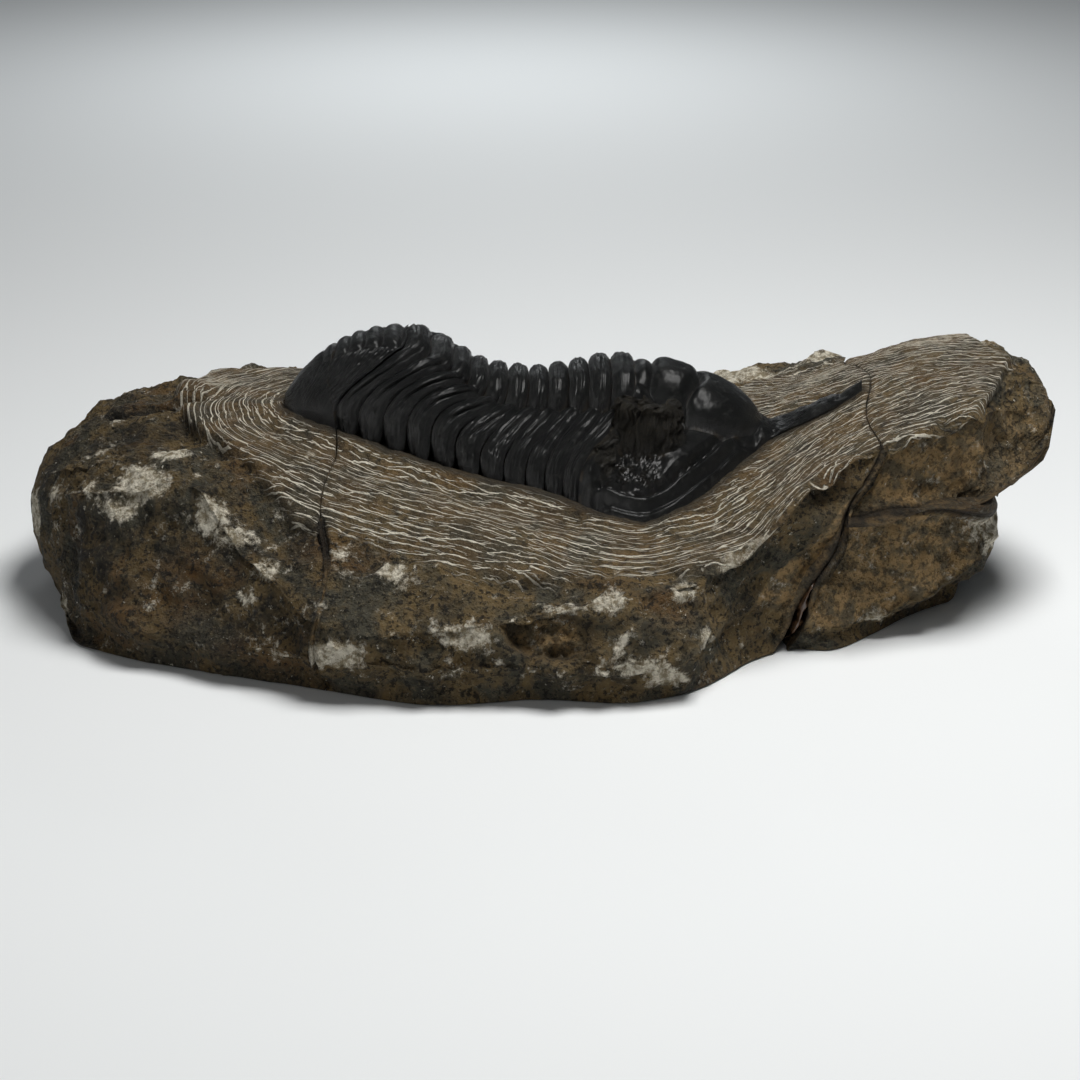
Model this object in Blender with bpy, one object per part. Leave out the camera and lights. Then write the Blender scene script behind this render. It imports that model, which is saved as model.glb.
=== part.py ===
"""A trilobite fossil in its block of limestone, lying on a table.

The block is a slab about 160 mm long that was broken when it was found and glued together again. It is
four stones: a left block, the main block, an upper right block and a lower right wedge, with a bead of
resin filling the widest part of one break. The trilobite's shield lies on top in a shallow bed, head
towards +X: a tail plate whose tip broke off with the left block, eleven thoracic plates that overlap like
roof tiles, and a head plate that runs out into a long flat snout.

Frame: +X towards the snout, +Z up, origin at the middle of the underside. Lengths in the tables are in
millimetres, and MM turns them into metres.
"""

import bmesh
import bpy
import numpy as np

MM = 0.001

# Driving dimensions, in millimetres
STONE_LEFT, STONE_RIGHT = -80.0, 86.0
JOINT_GAP = 0.5          # between two stones at a glued break
PLATE_GAP = 0.35         # between a plate of the shield and its neighbour or its bed
BED_DEPTH = 2.6          # how far the bed is sunk below the shield's margin
BED_MARGIN = 1.4         # how far the bed reaches out past the shield's outline
CHIPPING = 0.55          # how far the stone's facets stray from their smooth shape
RESIN_WIDTH, RESIN_LOW, RESIN_HIGH, RESIN_BACK = 2.4, 1.2, 11.0, -19.0

# The stone's long edges, seen in sections across X: (x, y, z) along each edge
FRONT_BASE = [(-80, -6, 0), (-73, -19, 0), (-60, -29, 0), (-48, -34, 0), (-30, -41, 0), (-16, -46, 0),
              (0, -44, 0), (14, -45, 0), (24, -39, 0), (31, -30, 0), (37, -25.5, 0), (44, -25, 0),
              (50, -19, 0), (57, -11, 0), (62, -7, 0), (70, -3, 0), (86, 0, 0)]
FRONT_BELLY = [(-80, -10, 8), (-70, -24, 7), (-55, -35, 6), (-40, -42, 6), (-28, -47, 6), (-16, -49.6, 5),
               (0, -48.6, 6), (14, -49, 6), (25, -42, 7), (31, -32, 8), (37, -27, 5), (44, -26.5, 2.5),
               (50, -23, 3), (56, -22, 5), (65, -17.5, 9.5), (71, -14, 13), (86, -4, 18)]
FRONT_RIM = [(-80, -10, 20), (-70, -18, 22.5), (-60, -23, 25), (-50, -26, 26), (-41, -35.5, 18.5),
             (-32, -45, 12.8), (-16, -47, 12.5), (0, -45, 14), (14, -43, 15.5), (24, -38, 17.5),
             (31, -32, 18.8), (36, -28.5, 23), (40, -25.5, 26), (45, -22.5, 28.3), (50, -21, 30.2),
             (57, -18.5, 31.8), (64, -15.5, 34), (67, -14, 34.3), (70, -9, 33), (86, -4, 31)]
FRONT_SLOPE = [(-80, -6, 24), (-66, -13, 27), (-50, -17, 28.5), (-36, -21, 27), (-22, -25, 24.5),
               (-8, -29, 21.5), (6, -30, 19.5), (16, -29.5, 19), (25, -24, 20.8), (33, -16, 23.8),
               (42, -11, 28.3), (50, -10, 31.6), (60, -7, 34.8), (70, -1, 36.5), (86, 2, 34)]
MIDDLE = [(-80, 4, 26), (-66, 3, 29), (-50, 0, 30.5), (-38, 0, 31), (-22, 0, 28.6), (-8, 0, 25), (6, 0, 23),
          (16, 0, 22.5), (25, 0, 23.5), (35, 0, 26.2), (42, 0, 29.5), (50, 0, 33.4), (60, 3, 36.4),
          (70, 6, 37), (86, 8, 35)]
BACK_SLOPE = [(-80, 14, 25), (-66, 18, 28.5), (-50, 21, 30), (-36, 22, 29.5), (-20, 25, 26.5), (-6, 28, 24),
              (8, 29, 22.5), (20, 27, 22.5), (32, 18, 25.5), (42, 14, 29.5), (50, 14, 33), (60, 17, 36),
              (70, 18, 37), (86, 16, 34)]
BACK_RIM = [(-80, 20, 20), (-66, 30, 22), (-50, 37, 24), (-36, 41, 22), (-20, 45, 20), (0, 47, 18),
            (20, 46, 19), (36, 41, 23), (50, 38, 27), (60, 36, 30), (70, 31, 31), (86, 22, 30)]
BACK_BELLY = [(-80, 20, 9), (-66, 33, 9), (-50, 41, 9), (-30, 47, 9), (-10, 49.6, 8), (10, 49.6, 8),
              (30, 47, 9), (50, 43, 11), (60, 39, 13), (70, 33, 16), (86, 22, 20)]
BACK_BASE = [(-80, 16, 0), (-66, 28, 0), (-50, 36, 0), (-30, 41, 0), (-10, 44, 0), (10, 44, 0), (30, 41, 0),
             (50, 37, 0), (60, 32, 0), (70, 26, 0), (86, 18, 0)]
EDGES = [FRONT_BASE, FRONT_BELLY, FRONT_RIM, FRONT_SLOPE, MIDDLE,
         BACK_SLOPE, BACK_RIM, BACK_BELLY, BACK_BASE]

# Each end is rounded off over its last stretch, towards a point at this height: (x, y, z, length)
LEFT_END = (STONE_LEFT, 4.0, 13.0, 12.0)
RIGHT_END = (STONE_RIGHT, 8.0, 26.0, 5.0)

# The shield in side view, its crest and its margin as (x, z), and its outline from above as (x, half width)
CREST = [(-39.2, 31.9), (-37.5, 34.6), (-34, 38.2), (-30, 40.8), (-26, 42.2), (-22.5, 42.7), (-18, 42.2),
         (-14, 40.2), (-9.5, 37.6), (-4.8, 36.3), (0, 36.0), (4.5, 36.7), (9, 37.4), (14, 36.6), (18, 34.6),
         (24, 31.8), (29, 29.5), (33, 28.0), (36.5, 28.6), (40, 30.4), (45, 33.2), (49.4, 35.4)]
MARGIN = [(-39.2, 31.2), (-30, 30.2), (-22, 28.4), (-14.5, 26.4), (-7, 24.6), (0, 23.2), (5, 22.2),
          (11, 20.9), (16, 20.6), (20, 21.2), (25, 22.8), (29, 24.2), (33, 25.6), (36, 26.8), (42, 29.6),
          (49.4, 33.6)]
HALF_WIDTH = [(-39.3, 1.6), (-38.4, 4.2), (-36, 7.2), (-32, 10.6), (-27, 13.4), (-21, 15.6), (-14, 17.4),
              (-7, 18.6), (0, 19.4), (3.5, 20.4), (6, 22.4), (11, 24.4), (16, 24.8), (20, 23.4), (25, 18.6),
              (29, 13.4), (33, 7.2), (35, 3.9), (37, 2.8), (43, 2.5), (49.4, 1.8)]
# The shield's cross-section from crest to margin: (way along the arch, share of width, share of height)
ARCH = [(0.0, 0.0, 1.0), (0.10, 0.14, 0.975), (0.20, 0.27, 0.88), (0.30, 0.37, 0.71), (0.40, 0.46, 0.69),
        (0.50, 0.57, 0.64), (0.60, 0.69, 0.56), (0.70, 0.80, 0.43), (0.80, 0.90, 0.26), (0.90, 0.965, 0.10),
        (1.0, 1.0, -0.08)]
# How far back the plates sweep along the arch: (way along the arch, share of the sweep)
SWEEP = [(0.0, 0.0), (0.30, 0.05), (0.45, 0.30), (0.80, 0.97), (1.0, 1.0)]
# Where each border between plates crosses the crest and meets the margin, from the head to the tail
CREST_BORDERS = [14.4, 10.8, 7.3, 4.25, 1.25, -1.65, -4.7, -7.65, -10.2, -12.75, -16.1, -20.2]
MARGIN_BORDERS = [5.6, 3.2, 0.6, -2.2, -5.4, -8.9, -12.6, -16.3, -20.0, -23.6, -27.4, -30.8]
SNOUT_TIP, TAIL_TIP = 49.2, -39.0
SEGMENT_COUNT = len(CREST_BORDERS) - 1
# How a plate's top rises between its front border and its back border: (share of its length, height)
RING = [(0.0, -1.3), (0.25, -0.1), (0.5, 0.45), (0.78, 0.5), (1.0, -0.5)]


def curve(points, at, column=1):
    """A smooth curve through points: cubic spans whose slopes come from the neighbouring points."""
    table = np.array(points, float)
    x, y = table[:, 0], table[:, column]
    slope = np.gradient(y, x)
    at = np.clip(at, x[0], x[-1])
    k = np.clip(np.searchsorted(x, at) - 1, 0, len(x) - 2)
    h = x[k + 1] - x[k]
    t = (at - x[k]) / h
    return ((1 + 2 * t) * (1 - t) ** 2 * y[k] + t * (1 - t) ** 2 * h * slope[k]
            + t * t * (3 - 2 * t) * y[k + 1] + t * t * (t - 1) * h * slope[k + 1])


def first_break(y, z):
    """The x of the break that runs through the tail."""
    return -31.0 + 0.5 * np.sin(y * 0.31) + 0.4 * np.sin(z * 0.45 + 1.0)


def second_break(y, z):
    """The x of the slanting break between the main block and the two stones to its right."""
    return 35.0 + 0.47 * z + 0.7 * np.sin(y * 0.23 + 0.5) + 0.5 * np.sin(z * 0.5)


def third_break(x, y):
    """The z of the low break between the two stones on the right."""
    fall = 3.4 * np.clip((x - 60.0) / 8.0, 0, 1)
    return 20.0 - fall + 0.5 * np.sin(x * 0.35 + 2.5) + 0.4 * np.sin(y * 0.27)


def take_vertices(bm):
    """The coordinates of every vertex as one array."""
    return np.array([vert.co for vert in bm.verts])


def give_vertices(bm, points):
    """Moves every vertex to its row of points, which are in millimetres."""
    for vert, point in zip(bm.verts, points * MM):
        vert.co = point


def finish_mesh(bm, name):
    """Turns a finished bmesh into a mesh of triangles that all point out."""
    bmesh.ops.triangulate(bm, faces=bm.faces[:])
    bm.normal_update()
    bmesh.ops.recalc_face_normals(bm, faces=bm.faces)
    mesh = bpy.data.meshes.new(name)
    bm.to_mesh(mesh)
    bm.free()
    return mesh


def rounding(x, end):
    """1 along the stone and falling to 0 at an end, as a quarter of an ellipse."""
    gone = np.clip(1 - np.abs(x - end[0]) / end[3], 0, 1)
    return np.sqrt(np.maximum(1 - gone**2, 0))


def stone_section(x, turn):
    """The (y, z) of the unbroken stone at x, a share turn of the way round from its front base edge."""
    y = np.array([curve(edge, x, 1) for edge in EDGES])
    z = np.array([curve(edge, x, 2) for edge in EDGES])
    place = turn * len(EDGES)
    here = np.floor(place).astype(int) % len(EDGES)
    following = (here + 1) % len(EDGES)
    t = place - np.floor(place)
    each = np.arange(len(x))
    y = y[here, each] * (1 - t) + y[following, each] * t
    z = z[here, each] * (1 - t) + z[following, each] * t
    for end in (LEFT_END, RIGHT_END):
        share = rounding(x, end)
        y = end[1] + (y - end[1]) * share
        z = end[2] + (z - end[2]) * share
    return y, z


def whole_stone(rows=46, turns=36):
    """The unbroken stone: a sphere with a pole at each end, moved out to the stone's skin and chipped."""
    bm = bmesh.new()
    bmesh.ops.create_uvsphere(bm, u_segments=turns, v_segments=rows, radius=1)
    unit = take_vertices(bm)
    along = 0.75 * unit[:, 2] + 0.5 * np.arcsin(np.clip(unit[:, 2], -1, 1)) / np.pi
    x = STONE_LEFT + (STONE_RIGHT - STONE_LEFT) * (along + 1) / 2
    turn = np.round(np.arctan2(unit[:, 1], unit[:, 0]) / (2 * np.pi) % 1 * turns) / turns % 1
    y, z = stone_section(x, turn)
    chips = np.random.RandomState(5).uniform(-CHIPPING, CHIPPING, (len(x), 3))
    chips[z < 0.1] = 0
    points = np.stack([x, y, z], 1) + chips
    points[z < 0.1, 2] = 0
    give_vertices(bm, points)
    return finish_mesh(bm, "whole_stone")


def broken_piece(name, left, right, low, high, cuts=9):
    """A box for one stone: left and right are functions of y and z, low and high of x and y."""
    bm = bmesh.new()
    bmesh.ops.create_cube(bm, size=1)
    bmesh.ops.subdivide_edges(bm, edges=bm.edges, cuts=cuts, use_grid_fill=True)
    unit = take_vertices(bm) + 0.5
    y = -60 + 120 * unit[:, 1]
    x = left(y, 20.0) + (right(y, 20.0) - left(y, 20.0)) * unit[:, 0]
    z = low(x, y) + (high(x, y) - low(x, y)) * unit[:, 2]
    x = left(y, z) + (right(y, z) - left(y, z)) * unit[:, 0]
    give_vertices(bm, np.stack([x, y, z], 1))
    return finish_mesh(bm, name)


def shield_top(x, s):
    """The shield's smooth top at x, s of the way from its crest to the far (+) or near (-) margin."""
    way = np.abs(s)
    crest, margin = curve(CREST, x), curve(MARGIN, x)
    y = np.sign(s) * curve(HALF_WIDTH, x) * curve(ARCH, way, 1)
    return y, margin + (crest - margin) * curve(ARCH, way, 2)


def thick_grid(rows, columns):
    """A closed grid two units square, with its upper sheet at z = 1 and its lower sheet at z = 0."""
    bm = bmesh.new()
    bmesh.ops.create_grid(bm, x_segments=rows, y_segments=columns, size=1)
    made = bmesh.ops.extrude_face_region(bm, geom=bm.faces[:])["geom"]
    upper = [item for item in made if isinstance(item, bmesh.types.BMVert)]
    bmesh.ops.translate(bm, verts=upper, vec=(0, 0, 1))
    return bm


def plate(name, front, back, rows, columns, rise):
    """A plate between two borders, each (x at the crest, x at the margin), solid down to its bed."""
    bm = thick_grid(rows, columns)
    unit = take_vertices(bm)
    t, s = (unit[:, 0] + 1) / 2, unit[:, 1]
    sweep = curve(SWEEP, np.abs(s))
    begin = front[0] + (front[1] - front[0]) * sweep - PLATE_GAP / 2
    end = back[0] + (back[1] - back[0]) * sweep + PLATE_GAP / 2
    x = begin + (end - begin) * t
    y, top = shield_top(x, s)
    top = top + rise(x, y, t, s)
    bulge = 0.7 * (1 - (2 * t - 1) ** 2) * np.abs(s) ** 6 * np.sign(s)
    floor = curve(MARGIN, x) - BED_DEPTH + PLATE_GAP
    give_vertices(bm, np.stack([x, y + bulge, np.where(unit[:, 2] > 0.5, top, floor)], 1))
    return finish_mesh(bm, name)


def bed(name, reach, depth, stations=44):
    """The shield's bed in the stone: its outline let out by reach, sunk by depth, and open at the top."""
    bm = thick_grid(stations, 2)
    unit = take_vertices(bm)
    x = TAIL_TIP - 1 + (SNOUT_TIP - TAIL_TIP + 2) * (unit[:, 0] + 1) / 2
    y = (curve(HALF_WIDTH, x) + reach) * unit[:, 1]
    give_vertices(bm, np.stack([x, y, np.where(unit[:, 2] > 0.5, 60, curve(MARGIN, x) - depth)], 1))
    return finish_mesh(bm, name)


def ball(name, centre, size, tilt=0.0, turns=20, rows=12):
    """An ellipsoid in the head plate, its long axis tilted up about Y."""
    bm = bmesh.new()
    bmesh.ops.create_uvsphere(bm, u_segments=turns, v_segments=rows, radius=1)
    points = take_vertices(bm)[:, [2, 1, 0]] * size
    x = points[:, 0] * np.cos(tilt) - points[:, 2] * np.sin(tilt)
    z = points[:, 0] * np.sin(tilt) + points[:, 2] * np.cos(tilt)
    give_vertices(bm, np.stack([x, points[:, 1], z], 1) + centre)
    return finish_mesh(bm, name)


def eye_block(name, side):
    """A tall eye: a short column of crescent section, leaning outwards, with a flat top."""
    bm = bmesh.new()
    bmesh.ops.create_cone(bm, segments=16, radius1=1.15, radius2=0.8, depth=2, cap_ends=True)
    points = take_vertices(bm)
    height = (points[:, 2] + 1) / 2
    x = 17.2 + 3.9 * points[:, 0]
    y = side * (12.2 + 2.2 * points[:, 1] + 0.8 * height - 0.75 * points[:, 0] ** 2)
    give_vertices(bm, np.stack([x, y, 24 + 11.5 * height], 1))
    return finish_mesh(bm, name)


def new_object(name, mesh, collection, colour=None, roughness=0.8):
    """Adds a mesh to a collection as a named object, with a plain material where it has a colour."""
    obj = bpy.data.objects.new(name, mesh)
    collection.objects.link(obj)
    mesh.materials.clear()
    if colour:
        material = bpy.data.materials.new(name)
        material.use_nodes = True
        shader = material.node_tree.nodes["Principled BSDF"]
        shader.inputs["Base Color"].default_value = (*colour, 1)
        shader.inputs["Roughness"].default_value = roughness
        mesh.materials.append(material)
    else:
        obj.hide_render = True
        obj.display_type = "WIRE"
    return obj


def cut(obj, other, operation):
    """Cuts an object with another, joins them, or keeps what they share."""
    modifier = obj.modifiers.new(operation.lower(), "BOOLEAN")
    modifier.object = other
    modifier.operation = operation
    modifier.solver = "EXACT"


def ring_rise(x, y, t, s):
    """A thoracic plate: a raised ring behind a sunk front edge, fading a little along its two sides."""
    return curve(RING, t) * (1 - 0.35 * np.abs(s))


def tail_rise(x, y, t, s):
    """The tail plate: rings that fade backwards along its raised middle, and a flattened border."""
    return 0.35 * np.sin(x * 2.1) * (1 - t) * np.clip(1.2 - 1.4 * np.abs(s), 0, 1)


def head_rise(x, y, t, s):
    """The head plate: sunk cheeks inside a rolled border."""
    way = np.abs(s)
    share = np.clip((33 - x) / 8, 0, 1)
    return share * (1.6 * np.exp(-((way - 0.93) / 0.07) ** 2) - 1.2 * np.exp(-((way - 0.72) / 0.12) ** 2))


def level(value):
    """A wall or floor of a box that stays at one value."""
    return lambda across, along: value + 0 * across


def shifted(surface, by):
    """The surface of a break, moved by a distance."""
    return lambda across, along: surface(across, along) + by


def upper_right_end(y, z):
    """The x of the rounded end of the upper right stone."""
    return 80 - 0.03 * (np.clip(z, 10, 38) - 27) ** 2 + 0 * y


def lower_right_end(y, z):
    """The x of the end of the lower right wedge, which leans out as it rises."""
    return 68.5 + 0.25 * z + 0 * y


def wedge_top(x, y):
    """The top of the lower right wedge, which falls away from the break towards its end."""
    return third_break(x, y) - JOINT_GAP / 2 - 0.1 * np.maximum(x - 62, 0)


def stones(fossil, cutters):
    """The four stones and the bead of resin, cut from one whole stone."""
    half = JOINT_GAP / 2
    floor, sky = level(-9), level(60)
    before_first, after_first = shifted(first_break, -half), shifted(first_break, half)
    before_second, after_second = shifted(second_break, -half), shifted(second_break, half)
    boxes = {
        "matrix_left_block": (level(-90), before_first, floor, sky),
        "matrix_main_block": (after_first, before_second, floor, sky),
        "matrix_upper_right_block": (after_second, upper_right_end, shifted(third_break, half), sky),
        "matrix_lower_right_wedge": (after_second, lower_right_end, floor, wedge_top),
    }
    colours = {
        "matrix_left_block": (0.045, 0.038, 0.026),
        "matrix_main_block": (0.11, 0.095, 0.062),
        "matrix_upper_right_block": (0.095, 0.072, 0.043),
        "matrix_lower_right_wedge": (0.075, 0.058, 0.035),
    }
    hollow = new_object("bed_cutter", bed("bed_cutter", BED_MARGIN, BED_DEPTH), cutters)
    socket = new_object("resin_socket", resin_box("resin_socket", PLATE_GAP), cutters)
    for name, box in boxes.items():
        stone = new_object(name, whole_stone(), fossil, colours[name])
        cut(stone, new_object(name + "_box", broken_piece(name + "_box", *box), cutters), "INTERSECT")
        if name != "matrix_lower_right_wedge":
            cut(stone, hollow, "DIFFERENCE")
        if name in ("matrix_main_block", "matrix_lower_right_wedge"):
            cut(stone, socket, "DIFFERENCE")
    resin = new_object("resin_filler", whole_stone(), fossil, (0.035, 0.015, 0.008), 0.2)
    cut(resin, new_object("resin_box", resin_box("resin_box", 0.0), cutters), "INTERSECT")


def resin_box(name, gap):
    """The bead of resin in the second break, or with a gap its socket."""
    half = RESIN_WIDTH / 2 + gap
    return broken_piece(name, shifted(second_break, -half), shifted(second_break, half),
                        level(RESIN_LOW - gap), level(RESIN_HIGH + gap), cuts=3)


def trim_back(obj, y, cutters):
    """Keeps only the part of an object in front of y."""
    bm = bmesh.new()
    bmesh.ops.create_cube(bm, size=1)
    give_vertices(bm, take_vertices(bm) * (300, 300, 300) + (0, y + 150, 0))
    cut(obj, new_object(obj.name + "_trim", finish_mesh(bm, obj.name + "_trim"), cutters), "DIFFERENCE")


def shield(fossil, cutters):
    """The plates of the trilobite, from the tail to the head."""
    black = (0.012, 0.013, 0.012)
    borders = list(zip(CREST_BORDERS, MARGIN_BORDERS))
    for name, box in (("pygidium_tip", "matrix_left_block_box"), ("pygidium", "matrix_main_block_box")):
        mesh = plate(name, borders[-1], (TAIL_TIP, TAIL_TIP), 9, 18, tail_rise)
        cut(new_object(name, mesh, fossil, black, 0.4), bpy.data.objects[box], "INTERSECT")
    for n in range(SEGMENT_COUNT):
        name = f"thoracic_segment_{n + 1:02d}"
        new_object(name, plate(name, borders[n], borders[n + 1], 4, 20, ring_rise), fossil, black, 0.4)
    head = new_object("cephalon", plate("cephalon", (SNOUT_TIP, SNOUT_TIP), borders[0], 18, 20, head_rise),
                      fossil, black, 0.4)
    parts = [ball("front_lobe", (26.5, 0, 29.5), (8.8, 7.6, 7.4), -0.45),
             ball("rear_lobe", (19.9, 0, 32.9), (4.9, 5.6, 5.0), -0.1, 16, 10),
             eye_block("near_eye", -1), eye_block("far_eye", 1)]
    for mesh in parts:
        cut(head, new_object(mesh.name, mesh, cutters), "UNION")


def settle(collection):
    """Puts the middle of the finished object over the origin and its underside at z = 0."""
    bpy.context.view_layer.update()
    graph = bpy.context.evaluated_depsgraph_get()
    corners = np.concatenate([np.array(obj.evaluated_get(graph).bound_box) for obj in collection.objects])
    shift = -(corners.min(0) + corners.max(0)) / 2
    shift[2] = -corners[:, 2].min()
    for obj in bpy.data.objects:
        obj.location = shift


def main():
    for obj in list(bpy.data.objects):
        bpy.data.objects.remove(obj)
    fossil = bpy.data.collections.new("trilobite_fossil")
    cutters = bpy.data.collections.new("cutters")
    for collection in (fossil, cutters):
        bpy.context.scene.collection.children.link(collection)
    stones(fossil, cutters)
    trim_back(bpy.data.objects["resin_filler"], RESIN_BACK, cutters)
    trim_back(bpy.data.objects["resin_socket"], RESIN_BACK + PLATE_GAP, cutters)
    shield(fossil, cutters)
    settle(fossil)


main()
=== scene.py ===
"""A trilobite fossil in its block of limestone: the look of the model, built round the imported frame.

The tables are in millimetres and MM turns them into metres. The long edges of the stone, its breaks and the
shield's tables are those of the frame's solids. +X runs towards the snout, and the side with the open view of
the animal faces -Y.
"""

import bpy
import numpy as np
from mathutils import Matrix


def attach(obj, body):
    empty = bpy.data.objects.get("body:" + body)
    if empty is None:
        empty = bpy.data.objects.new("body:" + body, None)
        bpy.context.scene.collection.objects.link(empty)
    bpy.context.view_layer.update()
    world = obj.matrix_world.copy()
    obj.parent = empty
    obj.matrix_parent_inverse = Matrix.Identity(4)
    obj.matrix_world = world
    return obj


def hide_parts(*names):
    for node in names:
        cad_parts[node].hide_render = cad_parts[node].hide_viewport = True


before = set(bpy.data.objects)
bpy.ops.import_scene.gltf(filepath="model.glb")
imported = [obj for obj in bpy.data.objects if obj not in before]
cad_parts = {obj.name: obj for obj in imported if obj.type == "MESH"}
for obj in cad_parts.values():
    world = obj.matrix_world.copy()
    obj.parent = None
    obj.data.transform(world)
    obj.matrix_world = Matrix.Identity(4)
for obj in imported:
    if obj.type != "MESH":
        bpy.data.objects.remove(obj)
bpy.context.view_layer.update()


# ---- The four stones -------------------------------------------------------------------------------------
# Brown-grey limestone, broken in four when it was found and glued again. Outside it is rough: scallops
# where chips flew off, pale bruises on the ridges. Round the animal it was worked smooth with an engraving
# tool.

MM = 0.001                           # the unit of the tables, in metres
FINE = 1.0    # the share of the grid lines that is built

# The stone's long edges, from the front foot up over the top and down to the back foot, as (x, y, z)
FRONT_BASE = [(-80, -6, 0), (-73, -19, 0), (-60, -29, 0), (-48, -34, 0), (-30, -41, 0), (-16, -46, 0),
              (0, -44, 0), (14, -45, 0), (24, -39, 0), (31, -30, 0), (37, -25.5, 0), (44, -25, 0),
              (50, -19, 0), (57, -11, 0), (62, -7, 0), (70, -3, 0), (86, 0, 0)]
FRONT_BELLY = [(-80, -10, 8), (-70, -24, 7), (-55, -35, 6), (-40, -42, 6), (-28, -47, 6), (-16, -49.6, 5),
               (0, -48.6, 6), (14, -49, 6), (25, -42, 7), (31, -32, 8), (37, -27, 5), (44, -26.5, 2.5),
               (50, -23, 3), (56, -22, 5), (65, -17.5, 9.5), (71, -14, 13), (86, -4, 18)]
FRONT_RIM = [(-80, -10, 20), (-70, -18, 22.5), (-60, -23, 25), (-50, -26, 26), (-41, -35.5, 18.5),
             (-32, -45, 12.8), (-16, -47, 12.5), (0, -45, 14), (14, -43, 15.5), (24, -38, 17.5),
             (31, -32, 18.8), (36, -28.5, 23), (40, -25.5, 26), (45, -22.5, 28.3), (50, -21, 30.2),
             (57, -18.5, 31.8), (64, -15.5, 34), (67, -14, 34.3), (70, -9, 33), (86, -4, 31)]
FRONT_SLOPE = [(-80, -6, 24), (-66, -13, 27), (-50, -17, 28.5), (-36, -21, 27), (-22, -25, 24.5),
               (-8, -29, 21.5), (6, -30, 19.5), (16, -29.5, 19), (25, -24, 20.8), (33, -16, 23.8),
               (42, -11, 28.3), (50, -10, 31.6), (60, -7, 34.8), (70, -1, 36.5), (86, 2, 34)]
MIDDLE = [(-80, 4, 26), (-66, 3, 29), (-50, 0, 30.5), (-38, 0, 31), (-22, 0, 28.6), (-8, 0, 25), (6, 0, 23),
          (16, 0, 22.5), (25, 0, 23.5), (35, 0, 26.2), (42, 0, 29.5), (50, 0, 33.4), (60, 3, 36.4),
          (70, 6, 37), (86, 8, 35)]
BACK_SLOPE = [(-80, 14, 25), (-66, 18, 28.5), (-50, 21, 30), (-36, 22, 29.5), (-20, 25, 26.5), (-6, 28, 24),
              (8, 29, 22.5), (20, 27, 22.5), (32, 18, 25.5), (42, 14, 29.5), (50, 14, 33), (60, 17, 36),
              (70, 18, 37), (86, 16, 34)]
BACK_RIM = [(-80, 20, 20), (-66, 30, 22), (-50, 37, 24), (-36, 41, 22), (-20, 45, 20), (0, 47, 18),
            (20, 46, 19), (36, 41, 23), (50, 38, 27), (60, 36, 30), (70, 31, 31), (86, 22, 30)]
BACK_BELLY = [(-80, 20, 9), (-66, 33, 9), (-50, 41, 9), (-30, 47, 9), (-10, 49.6, 8), (10, 49.6, 8),
              (30, 47, 9), (50, 43, 11), (60, 39, 13), (70, 33, 16), (86, 22, 20)]
BACK_BASE = [(-80, 16, 0), (-66, 28, 0), (-50, 36, 0), (-30, 41, 0), (-10, 44, 0), (10, 44, 0), (30, 41, 0),
             (50, 37, 0), (60, 32, 0), (70, 26, 0), (86, 18, 0)]
EDGES = [FRONT_BASE, FRONT_BELLY, FRONT_RIM, FRONT_SLOPE, MIDDLE, BACK_SLOPE, BACK_RIM, BACK_BELLY, BACK_BASE]
AROUND = [34, 60, 72, 76, 56, 34, 24, 18, 30]    # grid lines between one edge and the next
LEFT_END = (-80.0, 4.0, 13.0, 12.0)              # x, y, z of the rounded end and the length it takes up
CUT_INSET = 0.6                                  # how far the low break's faces stay inside the stone's sides
LARGE_CHIPS, SMALL_CHIPS = 260, 1500             # chips that flew off each stone

# The outline that the tool's strokes follow, as half widths, and the limits of the worked zone, as (x, y)
WORK_OUTLINE = [(-41, 0.3), (-40, 4), (-37, 8), (-31, 12), (-22, 16), (-10, 19), (0, 21), (8, 23.5),
                (15, 24.5), (22, 22), (30, 15.5), (38, 10), (46, 6.5), (56, 4.0), (66, 2.2), (76, 1.0),
                (92, 0.3)]
WORKED_FRONT = [(-58, 8), (-52, -6), (-44, -19), (-30, -31), (-14, -36.5), (9, -38), (24, -36), (31, -30.5),
                (38, -26.5), (46, -22), (57, -18), (66, -12), (72, 2)]
WORKED_BACK = [(-58, 12), (-48, 26), (-30, 33), (0, 36), (30, 32), (50, 26), (66, 20), (72, 8)]

# The shield's margin in side view and its half width from above: the stone is sunk under them
MARGIN = [(-39.2, 31.2), (-30, 30.2), (-22, 28.4), (-14.5, 26.4), (-7, 24.6), (0, 23.2), (5, 22.2),
          (11, 20.9), (16, 20.6), (20, 21.8), (25, 23.3), (29, 24.6), (33, 25.9), (36, 26.9), (42, 29.2),
          (49.4, 33.2)]
HALF_WIDTH = [(-39.3, 1.6), (-38.4, 4.2), (-36, 7.2), (-32, 10.6), (-27, 13.4), (-21, 15.6), (-14, 17.4),
              (-7, 18.6), (0, 19.4), (3.5, 20.4), (6, 22.4), (11, 24.4), (16, 24.8), (20, 23.4), (25, 18.6),
              (29, 13.4), (33, 7.2), (35, 4.6), (37, 3.7), (41, 2.9), (45, 2.0), (49.4, 0.8)]


def curve(points, at, column=1):
    """A smooth curve through points: cubic Hermite spans, each slope taken from the neighbouring points."""
    table = np.array(points, float)
    x, y = table[:, 0], table[:, column]
    slope = np.gradient(y, x)
    at = np.clip(at, x[0], x[-1])
    k = np.clip(np.searchsorted(x, at) - 1, 0, len(x) - 2)
    h = x[k + 1] - x[k]
    t = (at - x[k]) / h
    return ((1 + 2 * t) * (1 - t) ** 2 * y[k] + t * (1 - t) ** 2 * h * slope[k]
            + t * t * (3 - 2 * t) * y[k + 1] + t * t * (t - 1) * h * slope[k + 1])


def step(low, high, value):
    """0 below low, 1 above high, and a smooth cubic between."""
    t = np.clip((value - low) / (high - low), 0, 1)
    return t * t * (3 - 2 * t)


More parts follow.
